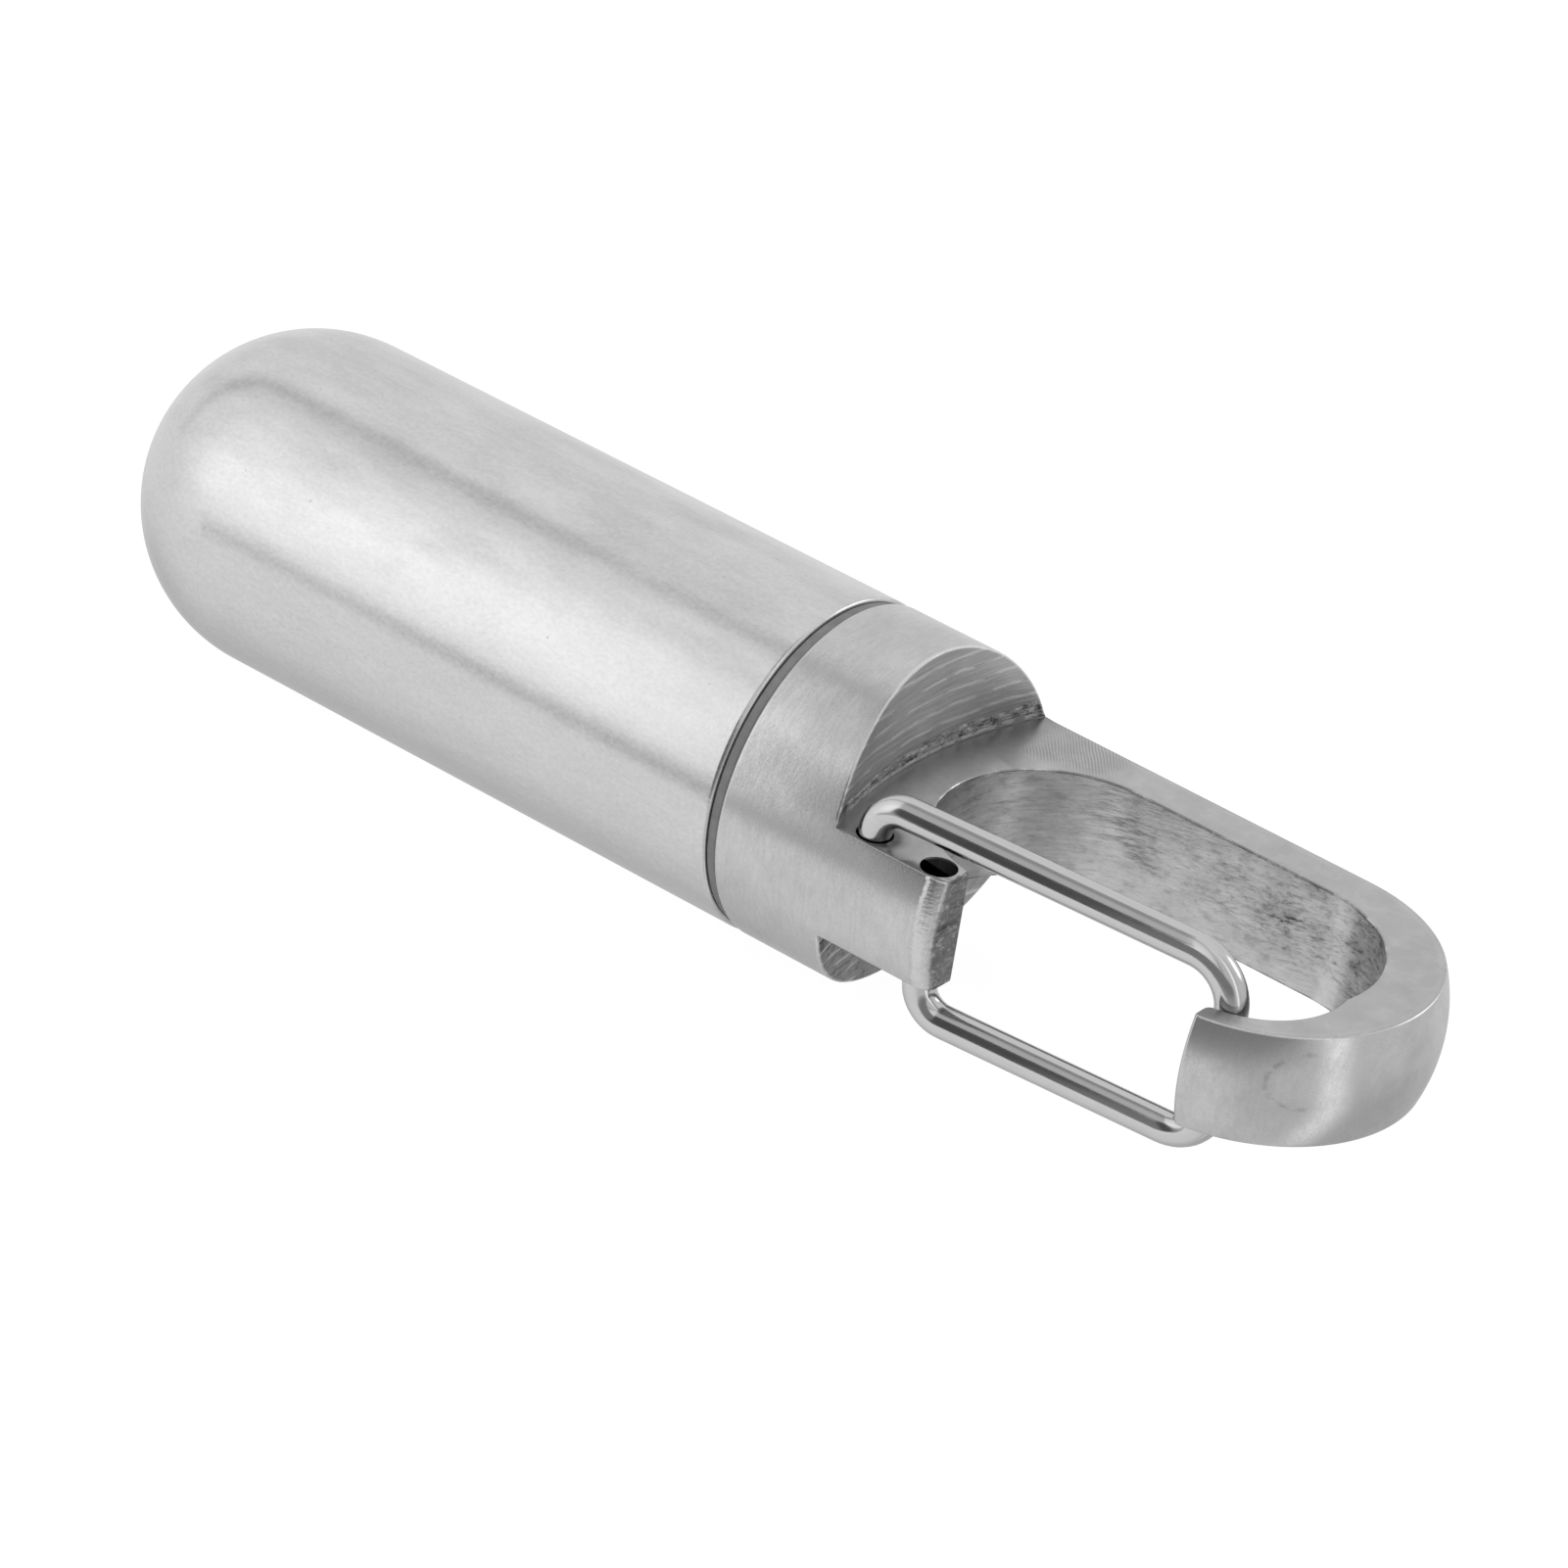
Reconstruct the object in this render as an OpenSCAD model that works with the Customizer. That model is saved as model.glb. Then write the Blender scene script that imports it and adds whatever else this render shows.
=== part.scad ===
// Pill fob: a round-ended metal tube for pills, closed by a screw cap that is
// milled in one piece with a snap hook. A bent spring wire is the hook's gate.
// X runs along the tube to the hook, Z is square to the hook's flat faces.
// The origin is under the middle of the part, on the surface that it lies on.

/* [Body] */
// Outside diameter of the tube, the cap and the round bar that the hook is cut from
body_d = 15; // [14:0.5:20]
// Length of the tube, from its mouth to the tip of its round end
barrel_l = 35.2; // [26:0.2:60]
// Wall of the tube around the pill space
cavity_wall = 2; // [1.6:0.1:3]
// Wall of the tube around its screw thread
mouth_wall = 1.4; // [1.2:0.1:1.8]
// Solid metal left between the straight pill space and the start of the round end
floor_lap = 0.8; // [0:0.1:3]
// Height of the small chamfers at the mouth and on the cap
edge_break = 0.15; // [0.05:0.05:0.3]

/* [Screw and seal] */
// Advance of the screw thread in one turn
thread_pitch = 1; // [0.8:0.1:1.2]
// Height of the thread on the cap's spigot
thread_depth = 0.55; // [0.4:0.05:0.6]
// Radial gap between the crests of each thread and the roots of the other
thread_gap = 0.1; // [0.08:0.01:0.2]
// Length of the spigot that screws into the tube
spigot_l = 6.5; // [5.5:0.1:9]
// Gap between the tube's mouth and the cap, which the seal fills
seal_gap = 0.5; // [0.4:0.05:0.8]
// How far the seal's rim lies below the outside of the tube
seal_recess = 0.15; // [0.05:0.05:0.3]

/* [Hook] */
// Length of the cap's round part, from the seal to the middle of the shoulder
cap_l = 4.3; // [3:0.1:8]
// Radius of the cutter that milled the two shoulders
shoulder_r = 22.9; // [18:0.1:40]
// Thickness of the hook between its flat faces
tongue_t = 5.1; // [4:0.1:7]
// Solid web between the shoulder and the eye
web_l = 2.15; // [1.9:0.05:4]
// Length of the hook's eye
eye_l = 20.05; // [17.5:0.05:30]
// Width of the long rail, across its round back
rail_w = 2.4; // [1.8:0.1:3]
// Width of the short stub that the gate is hinged in
stub_w = 2; // [1.9:0.05:2.4]
// Width of the wall at the hook's round end
end_w = 2.9; // [2:0.1:4]
// Width of the nose that the gate closes against
nose_w = 1.5; // [1.1:0.1:1.8]
// Radius of the cutter that hollowed the inside of the nose
nose_cutter_r = 3.95; // [3.4:0.05:4.3]
// Length of the nose, from its tip to the far end of the eye
nose_l = 3.4; // [3.2:0.1:4]

/* [Gate] */
// Diameter of the spring wire
wire_d = 1.4; // [1.2:0.05:1.4]
// Radial gap around the wire in its hinge hole
pin_gap = 0.08; // [0.03:0.01:0.08]
// Distance of the two wire holes from the outside of the stub
pin_inset = 1.35; // [1.33:0.01:1.4]
// Distance of the second wire hole from the middle of the eye's round end
pin_setback = 1.8; // [1.7:0.05:2.2]
// Distance between the two wire holes
pin_pitch = 3.25; // [2.6:0.05:3.3]
// Distance of the second wire hole from the stub's end
stub_tip = 1.05; // [1:0.05:1.5]
// Gap between the wire's long legs and the hook's flat faces
leg_gap = 0.85; // [0.4:0.05:1.4]
// Inside radius of the wire's bends over the holes
heel_bend_r = 0.7; // [0.5:0.05:0.9]
// Inside radius of the wire's bends at the nose
tip_bend_r = 1.3; // [0.7:0.05:1.8]
// How far behind the nose's tip the wire's crossbar stands
gate_lap = 0.55; // [0.2:0.05:1]
// Gap between the crossbar and the inside of the nose
seat_gap = 0.05; // [0.03:0.01:0.1]
// Gap between the crossbar and the long rail when the gate is pushed right in
stop_gap = 0.35; // [0.3:0.05:1]
// Length of the hinge pin inside its hole
pin_depth = 4.4; // [2:0.1:4.8]
// Gap between the wire's free end and the hook's lower face
free_end_gap = 0.15; // [0.1:0.05:0.3]

/* [Hidden] */
$fn = 96;
overrun = 1;
weld = 1e-9;
flank_angle = 30;
thread_facets = 24;
crest_share = 0.06;
drill_point_angle = 31;

body_r = body_d / 2;
wire_r = wire_d / 2;
tongue_h = tongue_t / 2;

// Places along the part are counted from the cap's face, where the seal lies
mouth_x = -seal_gap;
tip_x = mouth_x - barrel_l;
dome_x = tip_x + body_r;
shoulder_x = cap_l;
eye_x = shoulder_x + web_l;
eye_end_x = eye_x + eye_l;
hook_end_x = eye_end_x + end_w;
hook_dome_x = hook_end_x - body_r;
nose_tip_x = eye_end_x - nose_l;
middle_x = (tip_x + hook_end_x) / 2;

// The eye and the hollow inside the nose
eye_r = (body_d - rail_w - stub_w) / 2;
eye_y = (stub_w - rail_w) / 2;
rail_wall_y = body_r - rail_w;
nose_pocket_x = eye_end_x - nose_cutter_r;
nose_pocket_y = nose_w + nose_cutter_r - body_r;

// The screw: radii of the bore, of the cap's thread and of the tube's thread
bore_r = body_r - mouth_wall;
cavity_r = body_r - cavity_wall;
male_crest_r = bore_r - thread_gap;
male_root_r = male_crest_r - thread_depth;
female_crest_r = male_root_r + thread_gap + thread_gap / 2;
crest_half_w = crest_share * thread_pitch;
root_sink = thread_gap + thread_gap / 2;
spigot_chamfer = thread_depth;
lead_in = 4 * thread_gap;
spigot_end_x = -spigot_l;
thread_bore_x = spigot_end_x - seal_gap;
male_start_x = mouth_x - thread_pitch;
male_end_x = spigot_end_x + spigot_chamfer + thread_pitch / 2;
female_start_x = mouth_x - lead_in - thread_pitch / 2;
female_end_x = thread_bore_x + thread_pitch / 2;

// The seal
seal_side_gap = seal_gap / 25;
seal_t = seal_gap - 2 * seal_side_gap;
seal_outer_r = body_r - seal_recess;
seal_inner_r = male_root_r + thread_gap;

// The gate's wire: the two holes, the crossbar, and the legs between them
hole_r = wire_r + pin_gap;
pin_y = pin_inset - body_r;
pin_b = [eye_x + eye_r - pin_setback, pin_y];
pin_a = pin_b - [pin_pitch, 0];
stub_end_x = pin_b[0] + stub_tip;
seat_r = nose_cutter_r - wire_r - seat_gap;
crossbar_x = nose_tip_x + gate_lap;
crossbar_y = nose_pocket_y - sqrt(pow(seat_r, 2) - pow(crossbar_x - nose_pocket_x, 2));
crossbar = [crossbar_x, crossbar_y];
leg_z = tongue_h + leg_gap + wire_r;
heel_r = min(heel_bend_r + wire_r, leg_z - tongue_h - free_end_gap);
tip_r = min(tip_bend_r, leg_z - wire_r) + wire_r;

// The gate's travel, from the nose to the long rail
reach = norm(crossbar - pin_a);
closed_angle = heading(pin_a, crossbar);
open_angle = asin((rail_wall_y - stop_gap - wire_r - pin_y) / reach);
gate_travel = open_angle - closed_angle;

function heading(from, to) = atan2(to[1] - from[1], to[0] - from[0]);

// Half width of a thread ridge where it stands h above its foot's line
function ridge_half_w(below_crest) = crest_half_w + below_crest * tan(flank_angle);

// Cross-section of a ridge: its crest, and its foot sunk in the metal behind
function ridge_section(crest_r, foot_r) =
    let (foot_half_w = ridge_half_w(abs(foot_r - crest_r)))
    [[foot_r, -foot_half_w], [crest_r, -crest_half_w], [crest_r, crest_half_w], [foot_r, foot_half_w]];

// Moves a piece from places counted along the axis to the part's own frame
module in_frame() {
    translate([-middle_x, 0, body_r]) children();
}

// A round bar along X, from x0 to x1
module bar(x0, x1, r) {
    translate([x0, 0, 0]) rotate([0, 90, 0]) cylinder(r = r, h = x1 - x0);
}

// A cone along X, from radius r0 at x0 to radius r1 at x1
module taper(x0, x1, r0, r1) {
    translate([x0, 0, 0]) rotate([0, 90, 0]) cylinder(r1 = r0, r2 = r1, h = x1 - x0);
}

// What a chamfer takes off the rim of a round bar that ends at x. The bar lies on the
// side of larger x if side is 1, and of smaller x if it is -1.
module rim_cut(x, r, size, side) {
    far = size + overrun;
    translate([x, 0, 0]) mirror([side < 0 ? 1 : 0, 0, 0]) difference() {
        bar(-overrun / 2, size + overrun / 2, r + overrun);
        taper(-overrun, far, r - far, r + overrun);
    }
}

// A right-handed thread ridge between two places along the axis. The share of a turn
// that it is shifted by sets it between the ridges of the thread that it runs in.
module thread_ridge(start_x, end_x, crest_r, foot_r, turn_share) {
    section = ridge_section(crest_r, foot_r);
    sides = len(section);
    rings = floor((start_x - end_x) / thread_pitch * thread_facets);
    points = [
        for (i = [0:rings]) let (turn = turn_share + start_x / thread_pitch - i / thread_facets)
        for (p = section)
        [start_x - i / thread_facets * thread_pitch + p[1], p[0] * cos(360 * turn), p[0] * sin(360 * turn)]
    ];
    start_face = [[for (k = [0:sides - 1]) k]];
    end_face = [[for (k = [0:sides - 1]) rings * sides + sides - 1 - k]];
    flank_faces = [
        for (i = [0:rings - 1]) for (k = [0:sides - 1])
        let (a = i * sides + k, b = i * sides + (k + 1) % sides)
        each [[a, a + sides, b], [b, a + sides, b + sides]]
    ];
    turned = crest_r > foot_r;
    faces = concat(start_face, flank_faces, end_face);
    polyhedron(points = points, faces = turned ? faces : [for (f = faces) [for (k = [len(f) - 1:-1:0]) f[k]]]);
}

// A quarter bend of wire in the XZ plane: upright at the origin, level at [-r, 0, r]
module wire_bend(r) {
    translate([-r, 0, 0]) rotate([90, 0, 0])
        rotate_extrude(angle = 90) translate([r, 0]) circle(r = wire_r);
}

// Half of the gate's bow in the XZ plane: up half of the crossbar, which stands at the
// origin, back along a leg of the given length, and down the bend over the leg's hole
module wire_half(length) {
    translate([0, 0, -weld]) cylinder(r = wire_r, h = leg_z - tip_r + 2 * weld);
    translate([0, 0, leg_z - tip_r]) wire_bend(tip_r);
    translate([0, 0, leg_z]) bar(heel_r - length - weld, weld - tip_r, wire_r);
    translate([-length, 0, leg_z - heel_r]) mirror([1, 0, 0]) wire_bend(heel_r);
}

// The tube: round end, pill space, and the thread in its mouth
module barrel() {
    color("silver") in_frame() {
        difference() {
            union() {
                bar(dome_x, mouth_x, body_r);
                translate([dome_x, 0, 0]) sphere(r = body_r);
            }
            bar(thread_bore_x, mouth_x + overrun, bore_r);
            bar(dome_x - floor_lap, mouth_x, cavity_r);
            taper(dome_x - floor_lap - cavity_r * tan(drill_point_angle), dome_x - floor_lap, 0, cavity_r);
            taper(mouth_x - lead_in, mouth_x + lead_in, bore_r, bore_r + 2 * lead_in);
            rim_cut(mouth_x, body_r, edge_break, -1);
        }
        thread_ridge(female_start_x, female_end_x, female_crest_r, bore_r + root_sink, 0.5);
    }
}

// The rubber seal on the spigot's neck, with a rounded rim
module seal_ring() {
    color("dimgray") in_frame() translate([mouth_x / 2, 0, 0]) rotate([0, 90, 0])
        rotate_extrude() {
            translate([seal_inner_r, -seal_t / 2]) square([seal_outer_r - seal_t / 2 - seal_inner_r, seal_t]);
            translate([seal_outer_r - seal_t / 2, 0]) circle(r = seal_t / 2);
        }
}

// What the two side cutters leave out above the hook's flat face
module shoulder_cut() {
    translate([shoulder_x + shoulder_r, 0, tongue_h])
        cylinder(r = shoulder_r, h = body_r + overrun, $fn = 180);
}

// The eye: a long slot with round ends, and the hollow inside the nose
module eye_cut() {
    depth = tongue_t + 2 * overrun;
    translate([0, 0, -depth / 2]) {
        for (x = [eye_x + eye_r, eye_end_x - eye_r]) translate([x, eye_y, 0]) cylinder(r = eye_r, h = depth);
        translate([eye_x + eye_r, eye_y - eye_r, 0]) cube([eye_l - 2 * eye_r, 2 * eye_r, depth]);
        translate([nose_pocket_x, nose_pocket_y, 0]) cylinder(r = nose_cutter_r, h = depth);
    }
}

// The way into the eye, between the stub and the nose
module gate_way_cut() {
    depth = tongue_t + 2 * overrun;
    translate([stub_end_x, -body_r - overrun, -depth / 2])
        cube([nose_tip_x - stub_end_x, body_r + overrun + nose_pocket_y, depth]);
}

// The screw cap and the hook, cut from one round bar
module hook_cap() {
    color("lightgray") in_frame() {
        difference() {
            union() {
                bar(0, hook_dome_x, body_r);
                translate([hook_dome_x, 0, 0]) sphere(r = body_r);
                bar(spigot_end_x + spigot_chamfer, overrun, male_root_r);
                taper(spigot_end_x, spigot_end_x + spigot_chamfer, male_root_r - spigot_chamfer, male_root_r);
            }
            shoulder_cut();
            mirror([0, 0, 1]) shoulder_cut();
            eye_cut();
            gate_way_cut();
            rim_cut(0, body_r, edge_break, 1);
            for (p = [pin_a, pin_b])
                translate([p[0], p[1], -tongue_h - overrun]) cylinder(r = hole_r, h = tongue_t + 2 * overrun);
        }
        thread_ridge(male_start_x, male_end_x, male_crest_r, male_root_r - root_sink, 0);
    }
}

// The gate: one spring wire, from the hinge pin over the hook to the crossbar,
// and back under the hook to its free end below the second hole
module wire_gate() {
    pin_low = tongue_h - pin_depth;
    color("gainsboro") in_frame() translate(crossbar) {
        rotate([0, 0, closed_angle]) {
            wire_half(reach);
            translate([-reach, 0, pin_low]) cylinder(r = wire_r, h = leg_z - heel_r - pin_low + weld);
        }
        rotate([0, 0, heading(pin_b, crossbar)]) mirror([0, 0, 1]) wire_half(norm(crossbar - pin_b));
    }
}

barrel();
seal_ring();
hook_cap();
wire_gate();
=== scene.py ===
"""Dresses the pill fob keychain: a turned metal tube, a rubber seal, a screw cap milled in one
piece with a snap hook, and the hook's bent wire gate, on a plain pale floor."""

import math
from collections import namedtuple
from types import SimpleNamespace

import bmesh
import bpy
from mathutils import Matrix, Vector
from mathutils.kdtree import KDTree
from mathutils.geometry import intersect_sphere_sphere_2d as meeting_of_circles


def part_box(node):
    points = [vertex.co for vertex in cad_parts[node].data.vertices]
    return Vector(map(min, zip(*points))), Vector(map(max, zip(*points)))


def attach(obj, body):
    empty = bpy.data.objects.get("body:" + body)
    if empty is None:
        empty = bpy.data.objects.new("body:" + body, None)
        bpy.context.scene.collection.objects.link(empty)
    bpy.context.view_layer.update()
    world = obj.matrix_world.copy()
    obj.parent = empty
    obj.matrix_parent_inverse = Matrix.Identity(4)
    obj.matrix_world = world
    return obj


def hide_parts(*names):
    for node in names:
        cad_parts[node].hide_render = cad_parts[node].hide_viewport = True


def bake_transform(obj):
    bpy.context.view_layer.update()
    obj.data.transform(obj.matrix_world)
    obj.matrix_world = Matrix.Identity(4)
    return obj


bl_info = {
    "name": "Pill Fob Keychain",
    "version": (1, 0, 0),
    "blender": (4, 5, 0),
    "location": "3D View > Sidebar > Pill Fob",
    "description": "Builds the tube, seal, hook cap and wire gate of a pill fob, with their stage",
    "category": "Object",
}

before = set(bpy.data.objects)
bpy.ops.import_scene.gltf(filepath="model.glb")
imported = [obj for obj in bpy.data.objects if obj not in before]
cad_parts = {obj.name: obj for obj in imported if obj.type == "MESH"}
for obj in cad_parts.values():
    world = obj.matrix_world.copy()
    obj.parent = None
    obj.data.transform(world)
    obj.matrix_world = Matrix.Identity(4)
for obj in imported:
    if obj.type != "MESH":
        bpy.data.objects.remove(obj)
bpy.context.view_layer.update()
tube_low, tube_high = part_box("barrel")

TUBE_DIAMETER = tube_high.z - tube_low.z
TUBE_LENGTH = tube_high.x - tube_low.x
SEAL_GAP = 0.0005
AXIS_HEIGHT = (tube_high.z + tube_low.z) / 2
CAP_FACE = tube_high.x + SEAL_GAP

# Places and lengths in millimetres
TURNED_LINE = -28.2  # the faint line where the tube's round end was turned
SUPPORT = 0.06  # from a small rounding to the ring of points that keeps its shading even
STUB_ROUND, STUB_WORN, NOSE_ROUND = 0.14, 0.6, 0.25  # roundings of the stub's and the nose's corners
RIM_EASE = 0.7  # along the hook, over which its edge rounding begins beside the shoulder
SHARP = math.radians(38)  # edges that turn by more aren't smoothed

# The screw thread
THREAD_FLANK = math.radians(30)
THREAD_CREST = 0.06  # half of the crest's flat, in pitches
THREAD_SUNK = 0.15  # millimetres of its foot inside the wall that it stands on
THREAD_STEPS = 72  # of the spin, in one turn
DRILL_SLOPE = math.radians(31)  # of the pill space's drilled end

# Steps along one of the gate's legs, and how far before the crossbar's bend its two pieces part
PIN_STEPS, HEEL_STEPS, LEG_STEPS, TIP_STEPS, BAR_STEPS = 6, 14, 40, 16, 3
SEAM_BACK = 4
WIRE_SIDES = 28

# The photograph's camera. Its place is counted in tube radii from the point that it was fitted
# round, in metres
PHOTO_SIDE = 1601.0  # pixels
FOCUS = 7809.0  # pixels
SENSOR = 36.0  # millimetres
AZIMUTH, ELEVATION, ROLL = 0.5913, 0.5220, 0.1596
CAMERA_BACK, CAMERA_LEFT, CAMERA_DOWN = 41.829, 0.2234, 0.0845
CAMERA_UNIT = 0.0075
CAMERA_POINT = (0.0029, 0.0, 0.0075)

# The studio that the metal mirrors
SOFT_BOX_WAY = (-0.52, -0.77, 0.37)
SPOT_WAY = (0.43, 0.79, 0.44)
ROOM_LEVELS = (
    (0.0, 0.97), (0.08, 0.92), (0.14, 0.78), (0.20, 0.70), (0.27, 0.65),
    (0.34, 0.64), (0.38, 0.63), (0.60, 0.60), (1.0, 0.5),
)
DIM_CARDS = {
    "Barrel card": dict(
        place=(0, -0.15, 0), across=(-0.130, -0.070), upward=(-0.033, 0.008),
        levels=(0.42, 1.25), fade=(-0.033, 0.008), sides=(0.008, 0.012),
    ),
    "Cap card": dict(
        place=(0, -0.149, 0), across=(-0.084, -0.045), upward=(-0.036, 0.008),
        levels=(0.30, 1.05), fade=(-0.034, 0.012), sides=(0.010, 0.010),
    ),
    "Gate card": dict(
        place=(0, -0.05, 0), across=(-0.0161, 0.0065), upward=(-0.003, 0.050),
        levels=(0.50, 0.09), fade=(-0.012, -0.002), sides=(0.002, 0.0005), lean=0.14, slope=1.6,
    ),
    "Over card": dict(
        place=(0, 0, 0.062), across=(-0.016, 0.006), upward=(-0.006, 0.070),
        levels=(0.40, 0.62), fade=(0.012, 0.024), sides=(0.002, 0.0005), lean=0.25, tilt=math.pi / 2,
    ),
    "Nose card": dict(
        place=(0, -0.0501, 0), across=(0.006, 0.150), upward=(-0.003, 0.038),
        levels=(0.44, 0.27), fade=(-0.010, 0.001), sides=(0.0005, 0.07), slope=-0.2,
    ),
}


# ---------------------------------------------------------------------------
# Sizes and colours that a user would change


def length(name, description, default):
    """A size in metres."""
    return bpy.props.FloatProperty(
        name=name, description=description, default=default, min=0.0, precision=5,
        unit="LENGTH", subtype="DISTANCE",
    )


def tone(name, description, default):
    """A colour, in linear light."""
    return bpy.props.FloatVectorProperty(
        name=name, description=description, default=default, min=0.0, max=1.0, size=3, subtype="COLOR"
    )


def share(name, description, default):
    """A plain share of one."""
    return bpy.props.FloatProperty(
        name=name, description=description, default=default, min=0.0, max=1.0, subtype="FACTOR"
    )


class FobTubeSizes(bpy.types.PropertyGroup):
    """The turned tube, its screw thread and its seal"""

    diameter: length("Diameter", "Outside diameter of the tube and the cap", TUBE_DIAMETER)
    tube_length: length("Tube length", "From the mouth to the tip of the round end", TUBE_LENGTH)
    bore_radius: length("Bore radius", "Radius behind the tube's screw thread", 0.0061)
    cavity_radius: length("Pill space radius", "Radius of the pill space", 0.0055)
    thread_bore: length("Threaded length", "Depth of the threaded bore from the mouth", 0.0065)
    floor_lap: length("Floor lap", "Pill space inside the start of the round end", 0.0008)
    thread_pitch: length("Thread pitch", "Advance of the screw in one turn", 0.001)
    edge_break: length("Edge break", "Height of the rounded edges at the mouth", 0.00015)
    lead_in: length("Lead-in", "Height of the cone in the mouth", 0.0004)
    seal_gap: length("Seal gap", "Gap between the mouth and the cap", SEAL_GAP)
    seal_recess: length("Seal recess", "Seal's rim below the outside of the tube", 0.00015)
    seal_inner: length("Seal inner radius", "Radius of the seal's hole", 0.00555)


class FobHookSizes(bpy.types.PropertyGroup):
    """The screw cap and the hook that is milled from it"""

    cap_length: length("Cap length", "From the seal to the middle of the shoulder", 0.0043)
    shoulder_radius: length("Shoulder radius", "Radius of the cutter that milled the shoulders", 0.0229)
    tongue: length("Hook thickness", "Between the hook's flat faces", 0.0051)
    web: length("Web", "Solid metal between the shoulder and the eye", 0.00215)
    eye: length("Eye length", "Length of the hook's eye", 0.02005)
    rail: length("Rail width", "Width of the long rail", 0.0024)
    stub: length("Stub width", "Width of the short stub", 0.002)
    end: length("End width", "Wall at the hook's round end", 0.0029)
    nose: length("Nose width", "Width of the nose at its tip", 0.0015)
    nose_cutter: length("Nose cutter", "Radius of the hollow inside the nose", 0.00395)
    nose_length: length("Nose length", "From its tip to the far end of the eye", 0.0034)
    spigot: length("Spigot length", "Length of the screwed spigot", 0.0065)
    spigot_root: length("Spigot radius", "Radius at the foot of the spigot's thread", 0.00545)
    thread_depth: length("Thread depth", "Height of the spigot's thread", 0.00055)
    edge_round: length("Edge rounding", "Rounding of the hook's edges", 0.00008)
    rim_round: length("Rim rounding", "Rounding of the shoulder's rim", 0.00011)
    hole_gap: length("Hole gap", "Radial gap around the wire in its holes", 0.00008)


class FobGateSizes(bpy.types.PropertyGroup):
    """The bent spring wire that closes the hook"""

    wire: length("Wire diameter", "Diameter of the spring wire", 0.0014)
    pin_inset: length("Hole inset", "From the outside of the stub to the holes", 0.00135)
    pin_setback: length("Hole setback", "From the second hole to the middle of the eye's end", 0.0018)
    pin_pitch: length("Hole spacing", "Between the two holes", 0.00325)
    stub_tip: length("Stub tip", "From the second hole to the stub's end", 0.00105)
    leg_gap: length("Leg gap", "Between the wire's legs and the hook's faces", 0.00085)
    heel_bend: length("Heel bend", "Inside radius of the bends over the holes", 0.0007)
    tip_bend: length("Tip bend", "Inside radius of the bends at the nose", 0.0013)
    crossbar_lap: length("Crossbar lap", "Crossbar behind the nose's tip", 0.00055)
    crossbar_gap: length("Crossbar gap", "Crossbar to the inside of the nose", 0.00005)
    upper_pin: length("Upper pin", "Length of the hinge pin in its hole", 0.0044)
    lower_pin: length("Lower pin", "Length of the other pin in its hole", 0.0034)


class FobTones(bpy.types.PropertyGroup):
    """Colours of the metals, the rubber and the floor"""

    steel: tone("Steel", "Brushed steel of the tube, the cap and the hook", (0.63, 0.63, 0.63))
    # Also mixed into the turned outside, less towards the hook's round end, which paints it lighter
    # there
    cut_steel: tone("Cut steel", "Rough milled and sawn places of the hook", (0.34, 0.34, 0.34))
    # Also the colour of the painted shade on the hook's walls, flats and eye
    grime_and_shade: tone("Grime", "Dark pits and scratches of the rough places", (0.10, 0.10, 0.10))
    # Also the colour of the painted highlights on the hook's walls, rim and eye
    burnish_and_highlight: tone("Burnish", "Bright burrs and rubbed edges", (0.74, 0.74, 0.74))
    wire: tone("Wire", "Bright spring wire", (0.58, 0.58, 0.58))
    rubber: tone("Rubber", "Rubber of the seal", (0.19, 0.19, 0.19))
    floor: tone("Floor", "Plain pale floor", (0.95, 0.95, 0.95))
    wear: share("Wear", "How far the tool marks and scratches show", 1.0)


# ---------------------------------------------------------------------------
# Places that follow from the sizes, in millimetres, counted from the cap's face


def plan_of(scene):
    """All the sizes of the scene's settings, in millimetres, with the places worked out from them."""
    fob = SimpleNamespace()
    for group in (scene.fob_tube, scene.fob_hook, scene.fob_gate):
        for key in type(group).__annotations__:
            setattr(fob, key, getattr(group, key) * 1000.0)
    fob.radius = fob.diameter / 2
    fob.mouth_x = -fob.seal_gap
    fob.tip_x = fob.mouth_x - fob.tube_length
    fob.dome_x = fob.tip_x + fob.radius
    fob.half = fob.tongue / 2
    fob.cutter_x = fob.cap_length + fob.shoulder_radius
    fob.eye_x = fob.cap_length + fob.web
    fob.eye_end_x = fob.eye_x + fob.eye
    fob.hook_dome_x = fob.eye_end_x + fob.end - fob.radius
    fob.nose_tip_x = fob.eye_end_x - fob.nose_length
    fob.eye_r = (fob.diameter - fob.rail - fob.stub) / 2
    fob.eye_y = (fob.stub - fob.rail) / 2
    fob.eye_near = Vector((fob.eye_x + fob.eye_r, fob.eye_y))
    fob.eye_far = Vector((fob.eye_end_x - fob.eye_r, fob.eye_y))
    fob.pocket = Vector((fob.eye_end_x - fob.nose_cutter, fob.nose + fob.nose_cutter - fob.radius))
    fob.wire_r = fob.wire / 2
    fob.hole_r = fob.wire_r + fob.hole_gap
    fob.second_hole = Vector((fob.eye_near.x - fob.pin_setback, fob.pin_inset - fob.radius))
    fob.first_hole = fob.second_hole - Vector((fob.pin_pitch, 0.0))
    fob.stub_end_x = fob.second_hole.x + fob.stub_tip
    seat = fob.nose_cutter - fob.wire_r - fob.crossbar_gap
    crossbar_x = fob.nose_tip_x + fob.crossbar_lap
    fob.crossbar = below(fob.pocket, seat, crossbar_x)
    fob.leg_z = fob.half + fob.leg_gap + fob.wire_r
    fob.heel_r = fob.heel_bend + fob.wire_r
    fob.tip_r = fob.tip_bend + fob.wire_r
    corner_y = math.sqrt(fob.radius**2 - fob.half**2)
    fob.corner = Vector((shoulder_place(fob, corner_y), corner_y))
    return fob


def shoulder_place(fob, y):
    """Where the shoulder's wall stands along the part, at a distance y from the axis."""
    return fob.cutter_x - math.sqrt(fob.shoulder_radius**2 - y**2)


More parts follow.
